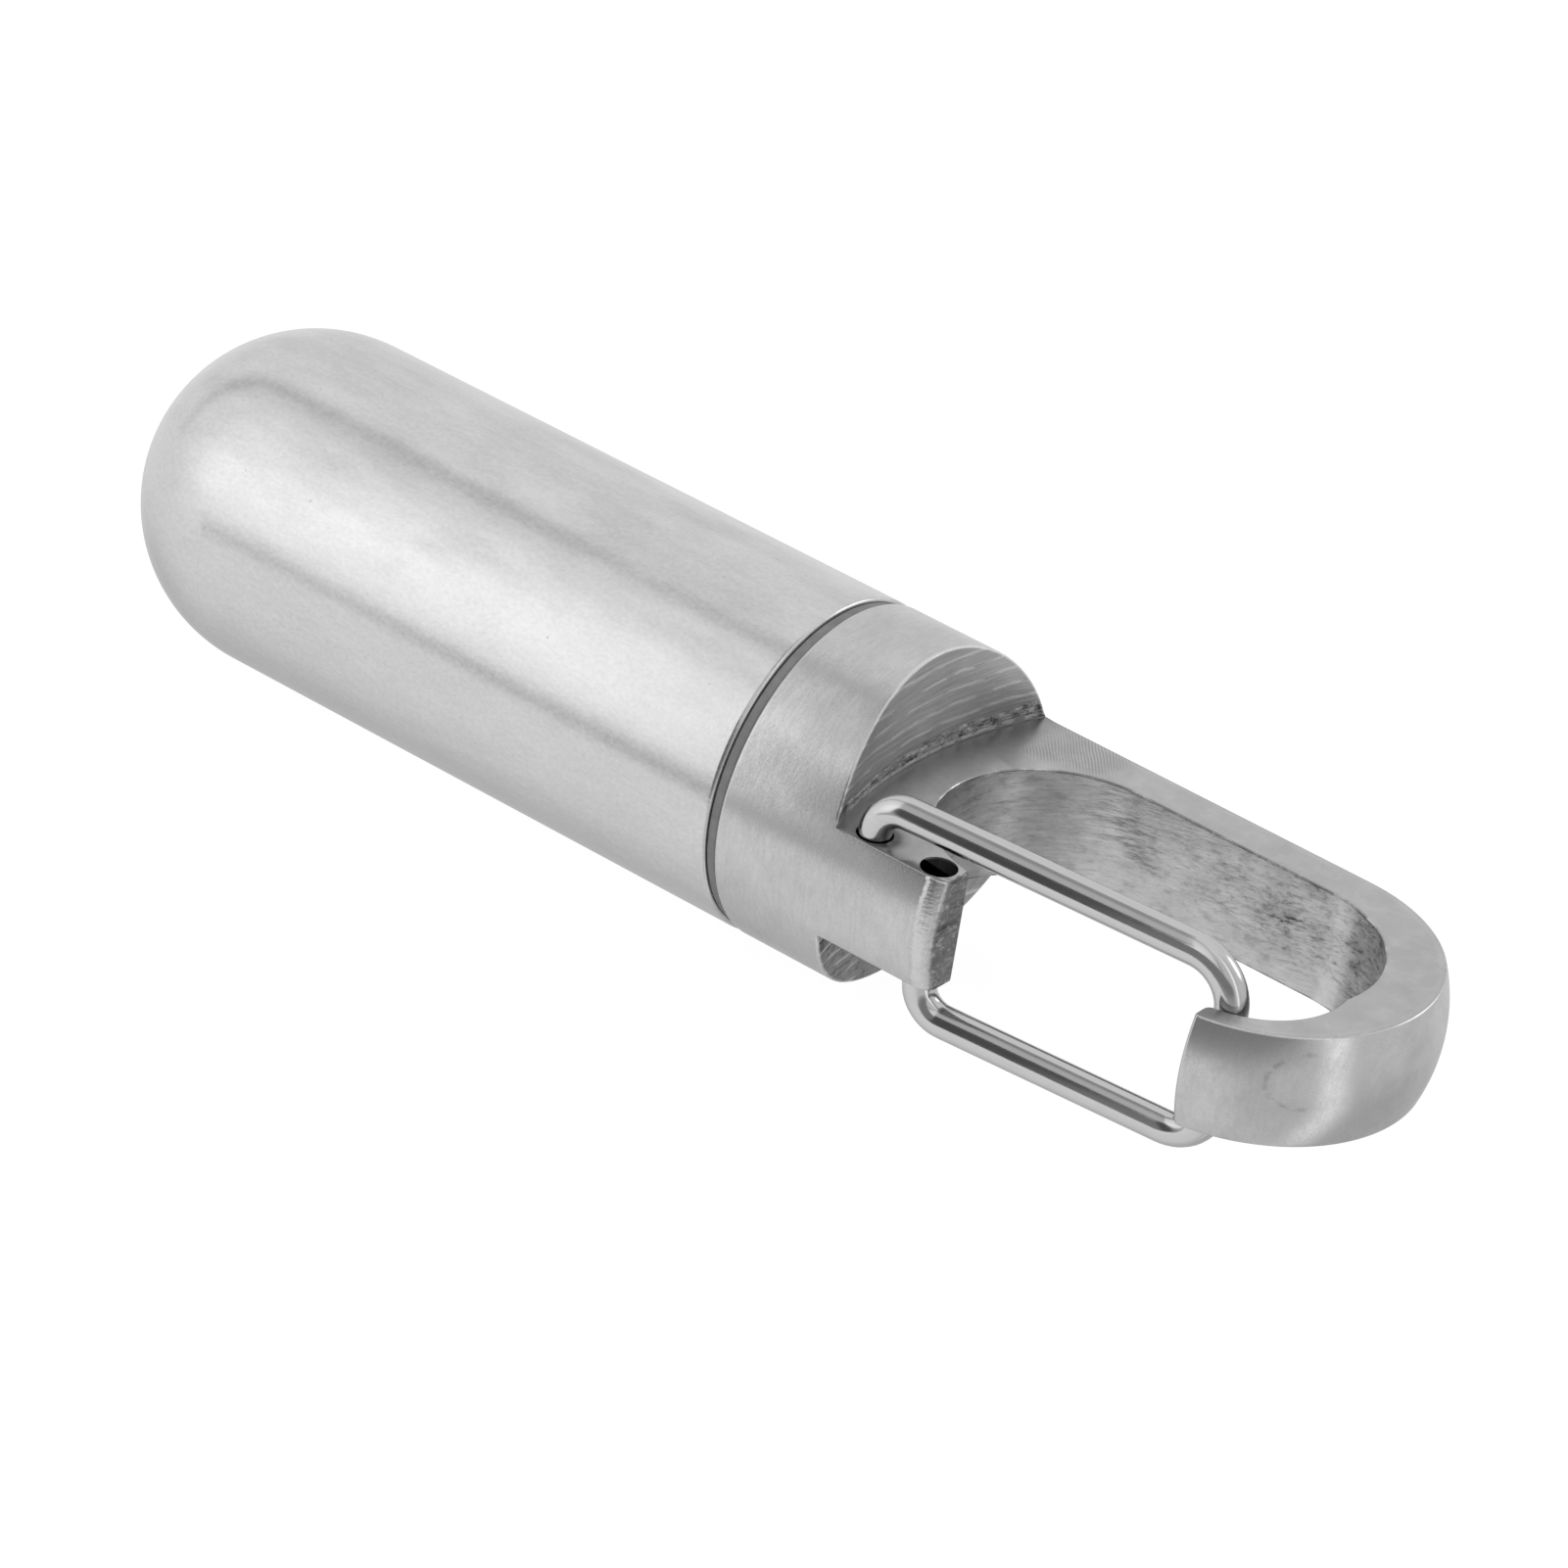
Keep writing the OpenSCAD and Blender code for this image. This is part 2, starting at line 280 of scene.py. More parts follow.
def below(centre, radius, x):
    """The lower point of a circle at x."""
    return Vector((x, centre.y - math.sqrt(radius**2 - (x - centre.x) ** 2)))


def spread(start, end, count):
    """Evenly spaced numbers from start to end, both among them."""
    return [start + (end - start) * i / (count - 1) for i in range(count)]


def ease(value, low, high):
    """A smooth step from 0 at low to 1 at high."""
    t = min(1.0, max(0.0, (value - low) / (high - low)))
    return t * t * (3 - 2 * t)


# ---------------------------------------------------------------------------
# Mesh work: rows of points that are extruded one from the other


def first_row(bm, points, closed=False):
    """The row of edges that a skin starts from, with each point's number kept on its vertex."""
    place = bm.verts.layers.int.get("place") or bm.verts.layers.int.new("place")
    made = [bm.verts.new(point) for point in points]
    for number, vert in enumerate(made):
        vert[place] = number
    ends = made[1:] + made[:1] if closed else made[1:]
    return [bm.edges.new(pair) for pair in zip(made, ends)]


def next_row(bm, edges, points):
    """Extrudes a row of edges and sets each new vertex on the point with its number."""
    place = bm.verts.layers.int.get("place")
    made = bmesh.ops.extrude_edge_only(bm, edges=edges)["geom"]
    for item in made:
        if isinstance(item, bmesh.types.BMVert):
            item.co = points[item[place]]
    return [item for item in made if isinstance(item, bmesh.types.BMEdge)]


def skin(bm, rows, closed=False):
    """A skin over rows of points. Returns the last row's edges."""
    edges = first_row(bm, rows[0], closed)
    for points in rows[1:]:
        edges = next_row(bm, edges, points)
    return edges


def quarter(steps):
    """Pairs that run round a quarter circle, from (0, 0) to (1, 1), leaving along the first."""
    return [(math.sin(a), 1 - math.cos(a)) for a in spread(0.0, math.pi / 2, steps + 1)]


def spin_profile(bm, profile, steps):
    """Turns a profile of (x, radius) points once round the axis."""
    edges = first_row(bm, [(x, 0.0, radius) for x, radius in profile])
    verts = {vert for edge in edges for vert in edge.verts}
    bmesh.ops.spin(
        bm, geom=list(verts) + edges, cent=(0, 0, 0), axis=(1, 0, 0),
        angle=2 * math.pi, steps=steps, use_merge=True,
    )
    bmesh.ops.remove_doubles(bm, verts=bm.verts, dist=1e-5)


def spin_thread(bm, fob, start_x, end_x, crest_r, foot_r, turn_share):
    """A right-handed thread ridge: its section spun round the axis while it moves along it."""
    rise = foot_r - crest_r
    crest_w = THREAD_CREST * fob.thread_pitch
    foot_w = crest_w + abs(rise) * math.tan(THREAD_FLANK)
    section = [(-foot_w, foot_r)]
    for along, up in ((-1.5, 0.06), (-1, 0.0), (1, 0.0), (1.5, 0.06)):
        section.append((along * crest_w, crest_r + up * rise))
    section.append((foot_w, foot_r))
    steps = int((start_x - end_x) / fob.thread_pitch * THREAD_STEPS)
    turn = 2 * math.pi * (turn_share + start_x / fob.thread_pitch)
    points = [(start_x + x, r * math.cos(turn), r * math.sin(turn)) for x, r in section]
    edges = first_row(bm, points, closed=True)
    verts = {vert for edge in edges for vert in edge.verts}
    before = set(bm.faces)
    bmesh.ops.spin(
        bm, geom=list(verts) + edges, cent=(0, 0, 0), axis=(1, 0, 0),
        dvec=(-fob.thread_pitch / THREAD_STEPS, 0, 0),
        angle=-2 * math.pi * steps / THREAD_STEPS, steps=steps,
    )
    skin_faces = [face for face in bm.faces if face not in before]
    open_edges = {edge for face in skin_faces for edge in face.edges if edge.is_boundary}
    bmesh.ops.holes_fill(bm, edges=list(open_edges), sides=len(section))


def set_in_frame(bm):
    """Moves a mesh from millimetres along the axis to metres in the part's own frame."""
    move = Matrix.Translation((CAP_FACE, 0.0, AXIS_HEIGHT)) @ Matrix.Scale(0.001, 4)
    bmesh.ops.transform(bm, matrix=move, verts=bm.verts)


def add_to_scene(name, data):
    """An object of the scene for a mesh, a lamp or a camera."""
    made = bpy.data.objects.new(name, data)
    bpy.context.scene.collection.objects.link(made)
    return made


def object_from(bm, name, material):
    """The object of a mesh's finished work."""
    mesh = bpy.data.meshes.new(name)
    bm.to_mesh(mesh)
    bm.free()
    mesh.materials.append(material)
    return add_to_scene(name, mesh)


def piece_from(bm, name, finish):
    """Closes a mesh's work: seams merged, normals outwards, edges sharp by angle, and its object."""
    bmesh.ops.remove_doubles(bm, verts=bm.verts, dist=1e-5)
    bmesh.ops.dissolve_degenerate(bm, edges=bm.edges, dist=1e-6)
    bmesh.ops.recalc_face_normals(bm, faces=bm.faces)
    for face in bm.faces:
        face.smooth = True
    for edge in bm.edges:
        edge.smooth = len(edge.link_faces) == 2 and edge.calc_face_angle(0.0) < SHARP
    open_edges = sum(1 for edge in bm.edges if len(edge.link_faces) != 2)
    if open_edges:
        raise RuntimeError(f"{name} has {open_edges} open edges")
    set_in_frame(bm)
    piece = object_from(bm, name, finish)
    shading = piece.modifiers.new("Even shading", "WEIGHTED_NORMAL")
    shading.mode = "FACE_AREA"
    shading.weight = 60
    shading.keep_sharp = True
    return piece


# ---------------------------------------------------------------------------
# Shader work


def worked(operation, reflected=False):
    """A method of Shade that works its value and another with one maths node."""

    def method(shade, other):
        return shade.maths(operation, *((other, shade) if reflected else (shade, other)))

    return method


class Shade:
    """A socket that is worked with like a number, or like a vector in its named methods."""

    def __init__(self, finish, socket):
        self.finish = finish
        self.socket = socket

    def maths(self, operation, *values):
        return self.finish.node("ShaderNodeMath", {"operation": operation}, dict(enumerate(values)))

    __add__, __radd__ = worked("ADD"), worked("ADD", reflected=True)
    __sub__, __rsub__ = worked("SUBTRACT"), worked("SUBTRACT", reflected=True)
    __mul__, __rmul__ = worked("MULTIPLY"), worked("MULTIPLY", reflected=True)
    __truediv__, __mod__, __pow__ = worked("DIVIDE"), worked("MODULO"), worked("POWER")
    most = worked("MAXIMUM")

    def __abs__(self):
        return self.maths("ABSOLUTE", self)

    def half_turns(self):
        """The angle whose cosine this is, from 0 to 1 over half a turn."""
        return self.maths("ARCCOSINE", self) / math.pi

    def step(self, low, high):
        """A smooth step from 0 at low to 1 at high, which may be the other way round."""
        settings = {"interpolation_type": "SMOOTHSTEP", "clamp": True}
        if low > high:
            return 1 - self.step(high, low)
        sockets = {"Value": self, "From Min": low, "From Max": high}
        return self.finish.node("ShaderNodeMapRange", settings, sockets)

    def line(self, middle, width):
        """A soft line of 1 where the value is at middle, with the given half width."""
        return abs(self - middle).step(width, 0.0)

    def between(self, low, high, soft):
        """1 between low and high, with soft ends."""
        return self.step(low - soft, low + soft) * self.step(high + soft, high - soft)


class NodeWork:
    """A tree of shader nodes, all of which are added by one method."""

    def __init__(self, tree):
        self.tree = tree
        self.tree.nodes.clear()

    def node(self, kind, settings=None, sockets=None, out=0):
        """Adds a node: its settings first, with a ramp's stops among them, then its sockets."""
        made = self.tree.nodes.new(kind)
        for key, value in (settings or {}).items():
            if key == "stops":
                ramp = made.color_ramp
                ramp.interpolation = "B_SPLINE"
                while len(ramp.elements) < len(value):
                    ramp.elements.new(1.0)
                for stop, (position, level) in zip(ramp.elements, value):
                    stop.position = position
                    stop.color = (level, level, level, 1.0)
            else:
                setattr(made, key, value)
        for key, value in (sockets or {}).items():
            if isinstance(value, Shade):
                self.tree.links.new(value.socket, made.inputs[key])
            else:
                made.inputs[key].default_value = value
        return Shade(self, made.outputs[out]) if len(made.outputs) else None

    def vector(self, x, y, z):
        return self.node("ShaderNodeCombineXYZ", None, {0: x, 1: y, 2: z})

    def parts(self, vector):
        return [self.node("ShaderNodeSeparateXYZ", None, {0: vector}, out=i) for i in range(3)]

    def along(self, vector, way):
        """How far a direction points along a fixed one: the cosine between them."""
        settings = {"operation": "DOT_PRODUCT"}
        return self.node("ShaderNodeVectorMath", settings, {0: vector, 1: way}, out=1)

    def ramp(self, value, stops):
        """A level between 0 and 1 that follows a value smoothly through its stops."""
        return self.node("ShaderNodeValToRGB", {"stops": stops}, {0: value})

    def mix(self, share_, first, second):
        """A colour between two colours."""
        settings = {"data_type": "RGBA", "clamp_factor": True}
        return self.node("ShaderNodeMix", settings, {0: share_, 6: first, 7: second}, out=2)

    def glow(self, kind, level):
        """A white shader that shines at a level: an Emission, or a world's Background."""
        return self.node(kind, None, {"Color": (1.0, 1.0, 1.0, 1.0), "Strength": level})

    def seen(self):
        """1 for the camera's own rays, and for those through something clear."""
        return self.node("ShaderNodeLightPath", out=0).most(self.node("ShaderNodeLightPath", out=6))


class Finish(NodeWork):
    """A procedural material."""

    def __init__(self, name):
        self.material = bpy.data.materials.new(name)
        self.material.use_nodes = True
        super().__init__(self.material.node_tree)
        self.places = None

    def place(self, axis):
        """Object coordinates in millimetres from the cap's face, as a vector or one of x, y, z."""
        if self.places is None:
            spot = self.node("ShaderNodeTexCoord", out=3)
            face = (CAP_FACE, 0.0, AXIS_HEIGHT)
            moved = self.node("ShaderNodeVectorMath", {"operation": "SUBTRACT"}, {0: spot, 1: face})
            self.places = {"vector": self.stretched((1000, 1000, 1000), moved)}
            self.places.update(zip("xyz", self.parts(self.places["vector"])))
        return self.places[axis]

    def stretched(self, scales, vector=None):
        """The millimetre place, or another vector, scaled along each axis."""
        sockets = {0: vector or self.place("vector"), 1: scales}
        return self.node("ShaderNodeVectorMath", {"operation": "MULTIPLY"}, sockets)

    def noise(self, vector, scale, detail=2.0, roughness=0.5):
        return self.node(
            "ShaderNodeTexNoise",
            {"noise_dimensions": "3D"},
            {"Vector": vector, "Scale": scale, "Detail": detail, "Roughness": roughness},
        )

    def marks(self, x, y, z, detail=2.0, roughness=0.5):
        """Noise over three values that are scaled already."""
        return self.noise(self.vector(x, y, z), 1.0, detail, roughness)

    def specks(self, vector, scale, size):
        """Small round dots, 1 in the middle of each, at about one in each cell."""
        near = self.node("ShaderNodeTexVoronoi", {"feature": "F1"}, {"Vector": vector, "Scale": scale})
        return near.step(size, size * 0.4)

    def bump(self, height, distance, strength, below=None):
        """Height in shares of a distance in metres, turned into a normal."""
        sockets = {"Height": height, "Distance": distance, "Strength": strength}
        if below is not None:
            sockets["Normal"] = below
        return self.node("ShaderNodeBump", None, sockets)

    def surface(self, colour, roughness, normal, **more):
        """Ends the material in a Principled shader."""
        sockets = {"Base Color": colour, "Roughness": roughness, "Normal": normal, **more}
        self.output(self.node("ShaderNodeBsdfPrincipled", None, sockets))
        return self.material

    def output(self, shader):
        self.node("ShaderNodeOutputMaterial", None, {"Surface": shader})


def solid(colour, factor=1.0):
    """A colour of the settings as a socket takes it, scaled."""
    return (colour[0] * factor, colour[1] * factor, colour[2] * factor, 1.0)


def tube_finish(scene):
    """Satin turned steel: fine marks round the axis, a mottled sheen, a few specks, and the faint
    line where the round end was turned."""
    tones = scene.fob_tones
    look = Finish("Satin turned steel")
    x, z, vector = look.place("x"), look.place("z"), look.place("vector")
    turned = look.marks(x * 14.0, 0.0, 0.0, 3.0, 0.7)
    grain = look.noise(look.stretched((0.7, 1.0, 1.0)), 6.0, 3.0, 0.65)
    cloud = look.noise(look.stretched((0.2, 0.6, 0.6)), 1.0, 3.0, 0.55)
    smear = look.noise(look.stretched((0.5, 1.6, 1.6)), 1.0, 3.0, 0.6)
    specks = look.specks(vector, 1.1, 0.075) * look.noise(vector, 0.9).step(0.5, 0.62)
    seam = x.line(TURNED_LINE, 0.06) * smear.step(0.35, 0.55) * z.step(2.2, 1.0)
    above = z.step(2.0, 6.0)
    sheen = (cloud - 0.5) * (above * 1.1 + 0.4) + (smear - 0.5) * 0.35 + grain - 0.5
    sheen = sheen - specks * 0.5 - seam * 0.25
    colour = look.mix(sheen + 0.66, solid(tones.steel, 0.78), solid(tones.steel, 1.10))
    roughness = 0.15 + grain * 0.08 + cloud * 0.06 + specks * 0.2
    normal = look.bump(turned * 0.35 + grain * 0.65, 0.000010, 0.5)
    normal = look.bump(cloud, 0.000030, 0.5, normal)
    return look.surface(colour, roughness, normal, Metallic=1.0)


# What one kind of surface adds: to dullness, to grime and painted shade, to burnished metal and painted
# highlights, and to height
Marks = namedtuple("Marks", "dull dark bright relief")


def hook_places(look, fob):
    """Where a point of the hook is, in millimetres, and the patterns that its surfaces share."""
    at = SimpleNamespace()
    x, y, z = at.x, at.y, at.z = [look.place(axis) for axis in "xyz"]
    at.up = abs(z)
    at.over_flat = at.up - fob.half
    at.slant = z - x * 0.16
    at.reach = ((x - fob.cutter_x) ** 2.0 + y * y) ** 0.5
    at.past_wall = fob.shoulder_radius - at.reach
    past_dome = (x - fob.hook_dome_x).most(0.0)
    at.from_axis = (past_dome * past_dome + y * y + z * z) ** 0.5
    at.beside_cap = x.step(9.0, 8.5)
    at.grain = look.noise(look.place("vector"), 9.0, 3.0, 0.65)
    at.crumbs = look.marks(y * 2.0, z * 2.9, 7.0, 4.0, 0.7)
    at.mottle = look.marks(x * 1.1, z * 1.5, y * 1.1, 4.0, 0.7)
    return at


def shoulder_marks(look, fob, at):
    """The shoulders' walls: the cutter's arcs, the burr and pits along their foot with darker specks at
    its lower left, painted shade towards the foot, the lower left and the underside, and painted light
    on the upper right.
    """
    y, z, up, over_flat, crumbs = at.y, at.z, at.up, at.over_flat, at.crumbs
    wall = up.step(fob.half + 0.01, fob.half + 0.05) * abs(at.past_wall).step(0.05, 0.03) * at.beside_cap
    patchy = look.marks(y * 0.75, z * 1.1, 3.0)
    waver = look.marks(y * 0.5, z * 0.6, 0.0)
    fine = look.marks(y * 0.4, z * 7.0, 0.0, 3.0, 0.7)
    arcs = ((up * 1.36 + waver * 0.5) % 1.0).line(0.5, 0.19) * patchy.step(0.36, 0.56)
    arcs = arcs.most(((up * 3.1 + waver * 0.8) % 1.0).line(0.5, 0.2) * patchy.step(0.58, 0.42) * 0.4)
    arcs = arcs * (0.5 + fine)
    burr = over_flat.line(0.12, 0.2) * wall * look.marks(y * 1.7, z, 0.0, 3.0).step(0.30, 0.52)
    uneven = look.marks(y * 0.9, 5.0, 0.0).step(0.40, 0.58)
    foot = (over_flat + (patchy - 0.5) * 0.7).between(0.18, 0.72, 0.14) * wall * (0.3 + uneven * 0.7)
    pits = foot * crumbs.step(0.50, 0.42) + wall * y.step(6.35, 6.8) * over_flat.step(1.2, 0.6)
    crests = foot * crumbs.step(0.54, 0.62)
    # Darker specks by the wall's foot at its lower-left end
    corner_specks = y.step(-5.0, -6.6) * over_flat.step(1.6, 0.2) * crumbs.step(0.62, 0.42)
    # Painted shade: darker towards the wall's foot and its lower left, and, mottled, on the underside
    # below the axis
    shade = over_flat.step(3.4, 0.0) * 0.18 + y.step(2.0, -6.5) * 0.18
    shade = shade + z.step(0.0, -1.0) * (0.3 + crumbs.step(0.52, 0.4) * 0.3)
    # Painted light: the upper right of the wall made lighter, which shine adds to the bright tool marks
    light = y.step(0.0, 5.5) * over_flat.step(0.8, 3.0)
    shine = arcs * 0.5 + fine.step(0.56, 0.72) * 0.12 + light * 0.35
    return Marks(
        dull=wall * (0.92 - patchy * 0.25),
        dark=wall * (shade + fine.step(0.54, 0.34) * 0.16 + corner_specks * 0.6) + pits * 0.9,
        bright=wall * shine + burr * 0.5 + crests * 0.55,
        relief=wall * (arcs * 1.2 + fine * 1.5) - pits * 4.0 + crests * 3.0 + burr * 4.0,
    )


def flat_marks(look, fob, at):
    """The flats: chatter by the far edge, faint marks of the facing cutter, and shade along the
    shoulders' foot and round the first hole."""
    x, y, vector = at.x, at.y, look.place("vector")
    flat = at.up.line(fob.half, 0.03) * at.past_wall.step(-0.02, 0.0)
    fan = (y - x * 0.3).between(1.9, 5.1, 0.5) * x.between(6.6, 9.9, 0.8) * at.z.step(0.0, 1.0)
    chatter = ((x * 0.76 + y * 0.65) * 7.6 + look.noise(vector, 0.8) * 1.2) % 1.0
    chatter = chatter.line(0.5, 0.45) * fan
    faced = look.marks(at.reach * 5.0, y * 0.3, 0.0, 3.0, 0.6)
    speckle = look.noise(vector, 3.5, 4.0, 0.75)
    from_hole = ((x - fob.first_hole.x - 0.3) ** 2.0 + (y - fob.first_hole.y) ** 2.0) ** 0.5
    shade = at.past_wall.step(1.8, 0.0) * 0.42 + at.past_wall.step(4.5, 0.0) * 0.14
    shade = shade + from_hole.step(1.35, 0.7) * 0.45 + from_hole.step(1.0, 0.7) * 0.3
    return Marks(
        dull=flat * (0.30 + speckle * 0.25),
        dark=flat * (shade + chatter * 0.34),
        bright=0.0,
        relief=flat * (faced * 0.5 + chatter * 0.8),
    )


def inner_marks(look, fob, at):
    """The inner walls of the eye and the nose: streaks, grit and clouds, darker towards the eye's near
    end, painted shade on the eye's round end and along its rounded edges, and a painted highlight strip
    where its far end begins to curve.
    """
    x, y, z, up, mottle = at.x, at.y, at.z, at.up, at.mottle
    inner = at.from_axis.step(fob.radius - 0.1, fob.radius - 0.25)
    inner = inner * up.step(fob.half - 0.02, fob.half - 0.1) * x.step(6.0, 6.3)
    streaks = look.marks(x * 0.75, at.slant * 4.5, y * 0.5, 4.0, 0.7)
    lines = look.marks(x * 0.9, at.slant * 10.0, y * 0.5, 3.0, 0.65)
    grit = look.marks(x * 2.4, at.slant * 5.5, y * 2.4, 4.0, 0.75)
    cloudy = look.marks(x * 0.8, z * 1.6, y * 0.8, 4.0, 0.65)
    first_patch = x.between(9.9, 13.2, 0.9) * (z + x * 0.16).between(1.4, 3.4, 0.6)
    rail_end = x.between(17.9, 21.3, 0.8) * (z + mottle).between(-0.6, 1.5, 0.6) * y.step(2.0, 3.5)
    worn_and_shaded = streaks.step(0.56, 0.36) * (first_patch * 0.55 + rail_end * 0.30)
    worn_and_shaded = worn_and_shaded + streaks.step(0.43, 0.30) * 0.3
    gritty = grit.step(0.52, 0.36) * (x.step(11.0, 21.0) * 0.42 + 0.10)
    worn_and_shaded = worn_and_shaded + gritty * (z + mottle).step(-2.2, 0.4)
    worn_and_shaded = worn_and_shaded * 0.8 + lines.step(0.50, 0.34) * cloudy.step(0.35, 0.6) * 0.16 + x.step(10.0, 8.2) * 0.3
    worn_and_shaded = worn_and_shaded + cloudy.step(0.5, 0.3) * 0.3 + rail_end * mottle.step(0.52, 0.40) * 0.35
    # Painted shade on the eye's round end, mottled
    worn_and_shaded = worn_and_shaded + x.between(22.8, 25.2, 0.5) * y.step(-2.0, 1.5) * (0.3 + mottle * 0.3)
    # Painted shade along the eye's rounded edges, dimming their highlight
    rounding = up.between(fob.half - 0.1, fob.half - 0.005, 0.01)
    rounding = rounding * at.from_axis.step(fob.radius - 0.2, fob.radius - 0.4)
    rounding = rounding * at.past_wall.step(0.5, 1.0) * cloudy.step(0.66, 0.46)
    # Painted highlight: a bright strip where the eye's far end begins to curve, broken by mottle
    strip = x.between(21.5, 22.4, 0.4) * y.step(1.0, 3.0) * (up + mottle * 0.8).step(1.1, 1.9)
    rubbed_and_highlit = strip * mottle * 0.75 + mottle.step(0.60, 0.75) * 0.3
    rubbed_and_highlit = rubbed_and_highlit + lines.step(0.55, 0.70) * 0.12 + cloudy.step(0.52, 0.7) * 0.2
    return Marks(
        dull=inner * (0.14 + mottle * 0.5),
        dark=inner * worn_and_shaded + rounding * 0.6,
        bright=inner * rubbed_and_highlit,
        relief=inner * (streaks * 2.5 + mottle * 2.0),
    )


def sawn_marks(look, fob, at):
    """The stub's sawn end with the strip that the file touched beside it, the nose's dull side,
    and the smudge on the nose."""
    x, y, up, mottle = at.x, at.y, at.up, at.mottle
    saw = look.marks(y * 2.4, at.slant * 3.0, 2.0, 4.0, 0.72)
    ragged = x + (saw - 0.5) * 0.5
    stub_tip = y.step(-5.0, -5.3) * up.step(2.7, 2.6)
    filed = stub_tip * ragged.between(10.15, 11.3, 0.12) * at.from_axis.step(7.1, 7.3)
    face = stub_tip * ragged.between(10.95, 11.6, 0.06) * at.from_axis.step(7.4, 7.15)
    smudge = (((x - 27.5) ** 2.0 + (at.z - 0.7) ** 2.0) ** 0.5).line(1.2, 0.16)
    smudge = smudge * y.step(-4.0, -5.0) * mottle.step(0.42, 0.58) * x.step(28.3, 27.4)
    nose_side = x.between(23.0, 26.5, 0.8) * y.step(-5.5, -6.3) * up.step(fob.half + 0.1, fob.half)
    dark = face * (saw.step(0.55, 0.38) * 0.5 + 0.2) + filed * saw.step(0.45, 0.32) * 0.25
    return Marks(
        dull=face * (0.7 + saw * 0.5) + nose_side * mottle * 0.35,
        dark=dark + smudge * 0.3,
        bright=filed * (0.25 + saw * 0.4) + face * at.crumbs.step(0.52, 0.66) * 0.5,
        relief=(face + filed) * (saw * 5.0 + at.crumbs * 2.0),
    )


def outer_marks(look, fob, at):
    """The turned outside: a brushed grain, a painted highlight along the shoulder's rim, and a tone less
    dull towards the hook's round end, with its colour there painted lighter.
    """
    outer = at.from_axis.step(fob.radius - 0.14, fob.radius - 0.05)
    brushed = look.marks(at.x * 6.0, at.y * 1.3, at.z * 1.3, 3.0, 0.65)
    # Painted highlight: a bright line along the shoulder's rim
    rim = at.past_wall.between(-0.14, 0.03, 0.04) * at.over_flat.step(0.0, 0.3) * at.beside_cap
    uneven = (brushed - 0.5) * 0.5 + (at.grain - 0.5) * 0.4
    return Marks(
        # Less dull towards the hook's round end: smoother there, and its colour painted lighter to
        # brighten the gleam
        dull=outer * (at.x.step(18.0, 9.0) * 0.16 + 0.12 + uneven),
        dark=0.0,
        bright=outer * rim * 0.7,
        relief=at.grain * (0.32 - at.x.step(20.0, 23.0) * 0.2),
    )


def hook_finish(scene):
    """The same steel after milling, with each surface's own marks, painted shade and painted highlights
    laid over one another.
    """
    tones = scene.fob_tones
    fob = plan_of(scene)
    look = Finish("Milled steel")
    at = hook_places(look, fob)
    surfaces = (shoulder_marks, flat_marks, inner_marks, sawn_marks, outer_marks)
    found = [marks(look, fob, at) for marks in surfaces]
    dull, dark, bright, relief = [sum(kind) for kind in zip(*found)]
    dull = dull + (0.5 - look.noise(look.place("vector"), 0.6, 2.0)) * 0.5
    colour = look.mix(dull, solid(tones.steel), solid(tones.cut_steel))
    # Towards the dark tone: pits, scratches and grit, and the painted shade
    colour = look.mix(dark * tones.wear, colour, solid(tones.grime_and_shade))
    # Towards the bright tone: burrs, cutter arcs and burnished places, and the painted highlights
    colour = look.mix(bright * tones.wear, colour, solid(tones.burnish_and_highlight))
    roughness = 0.15 + at.grain * 0.08 + dull.most(0.0) * 0.20 + dark * 0.2 + at.x.step(4.0, 16.0) * 0.05
    return look.surface(colour, roughness, look.bump(relief, 0.000014, 0.6), Metallic=1.0)


def wire_finish(scene):
    """Bright drawn wire with faint lengthwise marks."""
    tones = scene.fob_tones
    look = Finish("Bright drawn wire")
    marks = look.noise(look.stretched((0.3, 5.0, 5.0)), 1.0, 3.0, 0.6)
    smear = look.noise(look.place("vector"), 1.2, 2.0)
    colour = look.mix(marks * 0.6 + smear * 0.4, solid(tones.wire, 0.9), solid(tones.wire, 1.08))
    roughness = 0.10 + marks * 0.06 + smear * 0.05
    return look.surface(colour, roughness, look.bump(marks, 0.000004, 0.3), Metallic=1.0)


def rubber_finish(scene):
    """Dull dark rubber with a fine moulded grain."""
    tones = scene.fob_tones
    look = Finish("Seal rubber")
    grain = look.noise(look.place("vector"), 12.0, 3.0, 0.6)
    dust = look.noise(look.place("vector"), 1.6, 3.0, 0.6)
    colour = look.mix(dust, solid(tones.rubber, 0.7), solid(tones.rubber, 1.5))
    dull = {"Specular IOR Level": 0.25}
    return look.surface(colour, 0.6 + grain * 0.15, look.bump(grain, 0.000008, 0.5), **dull)


# ---------------------------------------------------------------------------
# The pieces


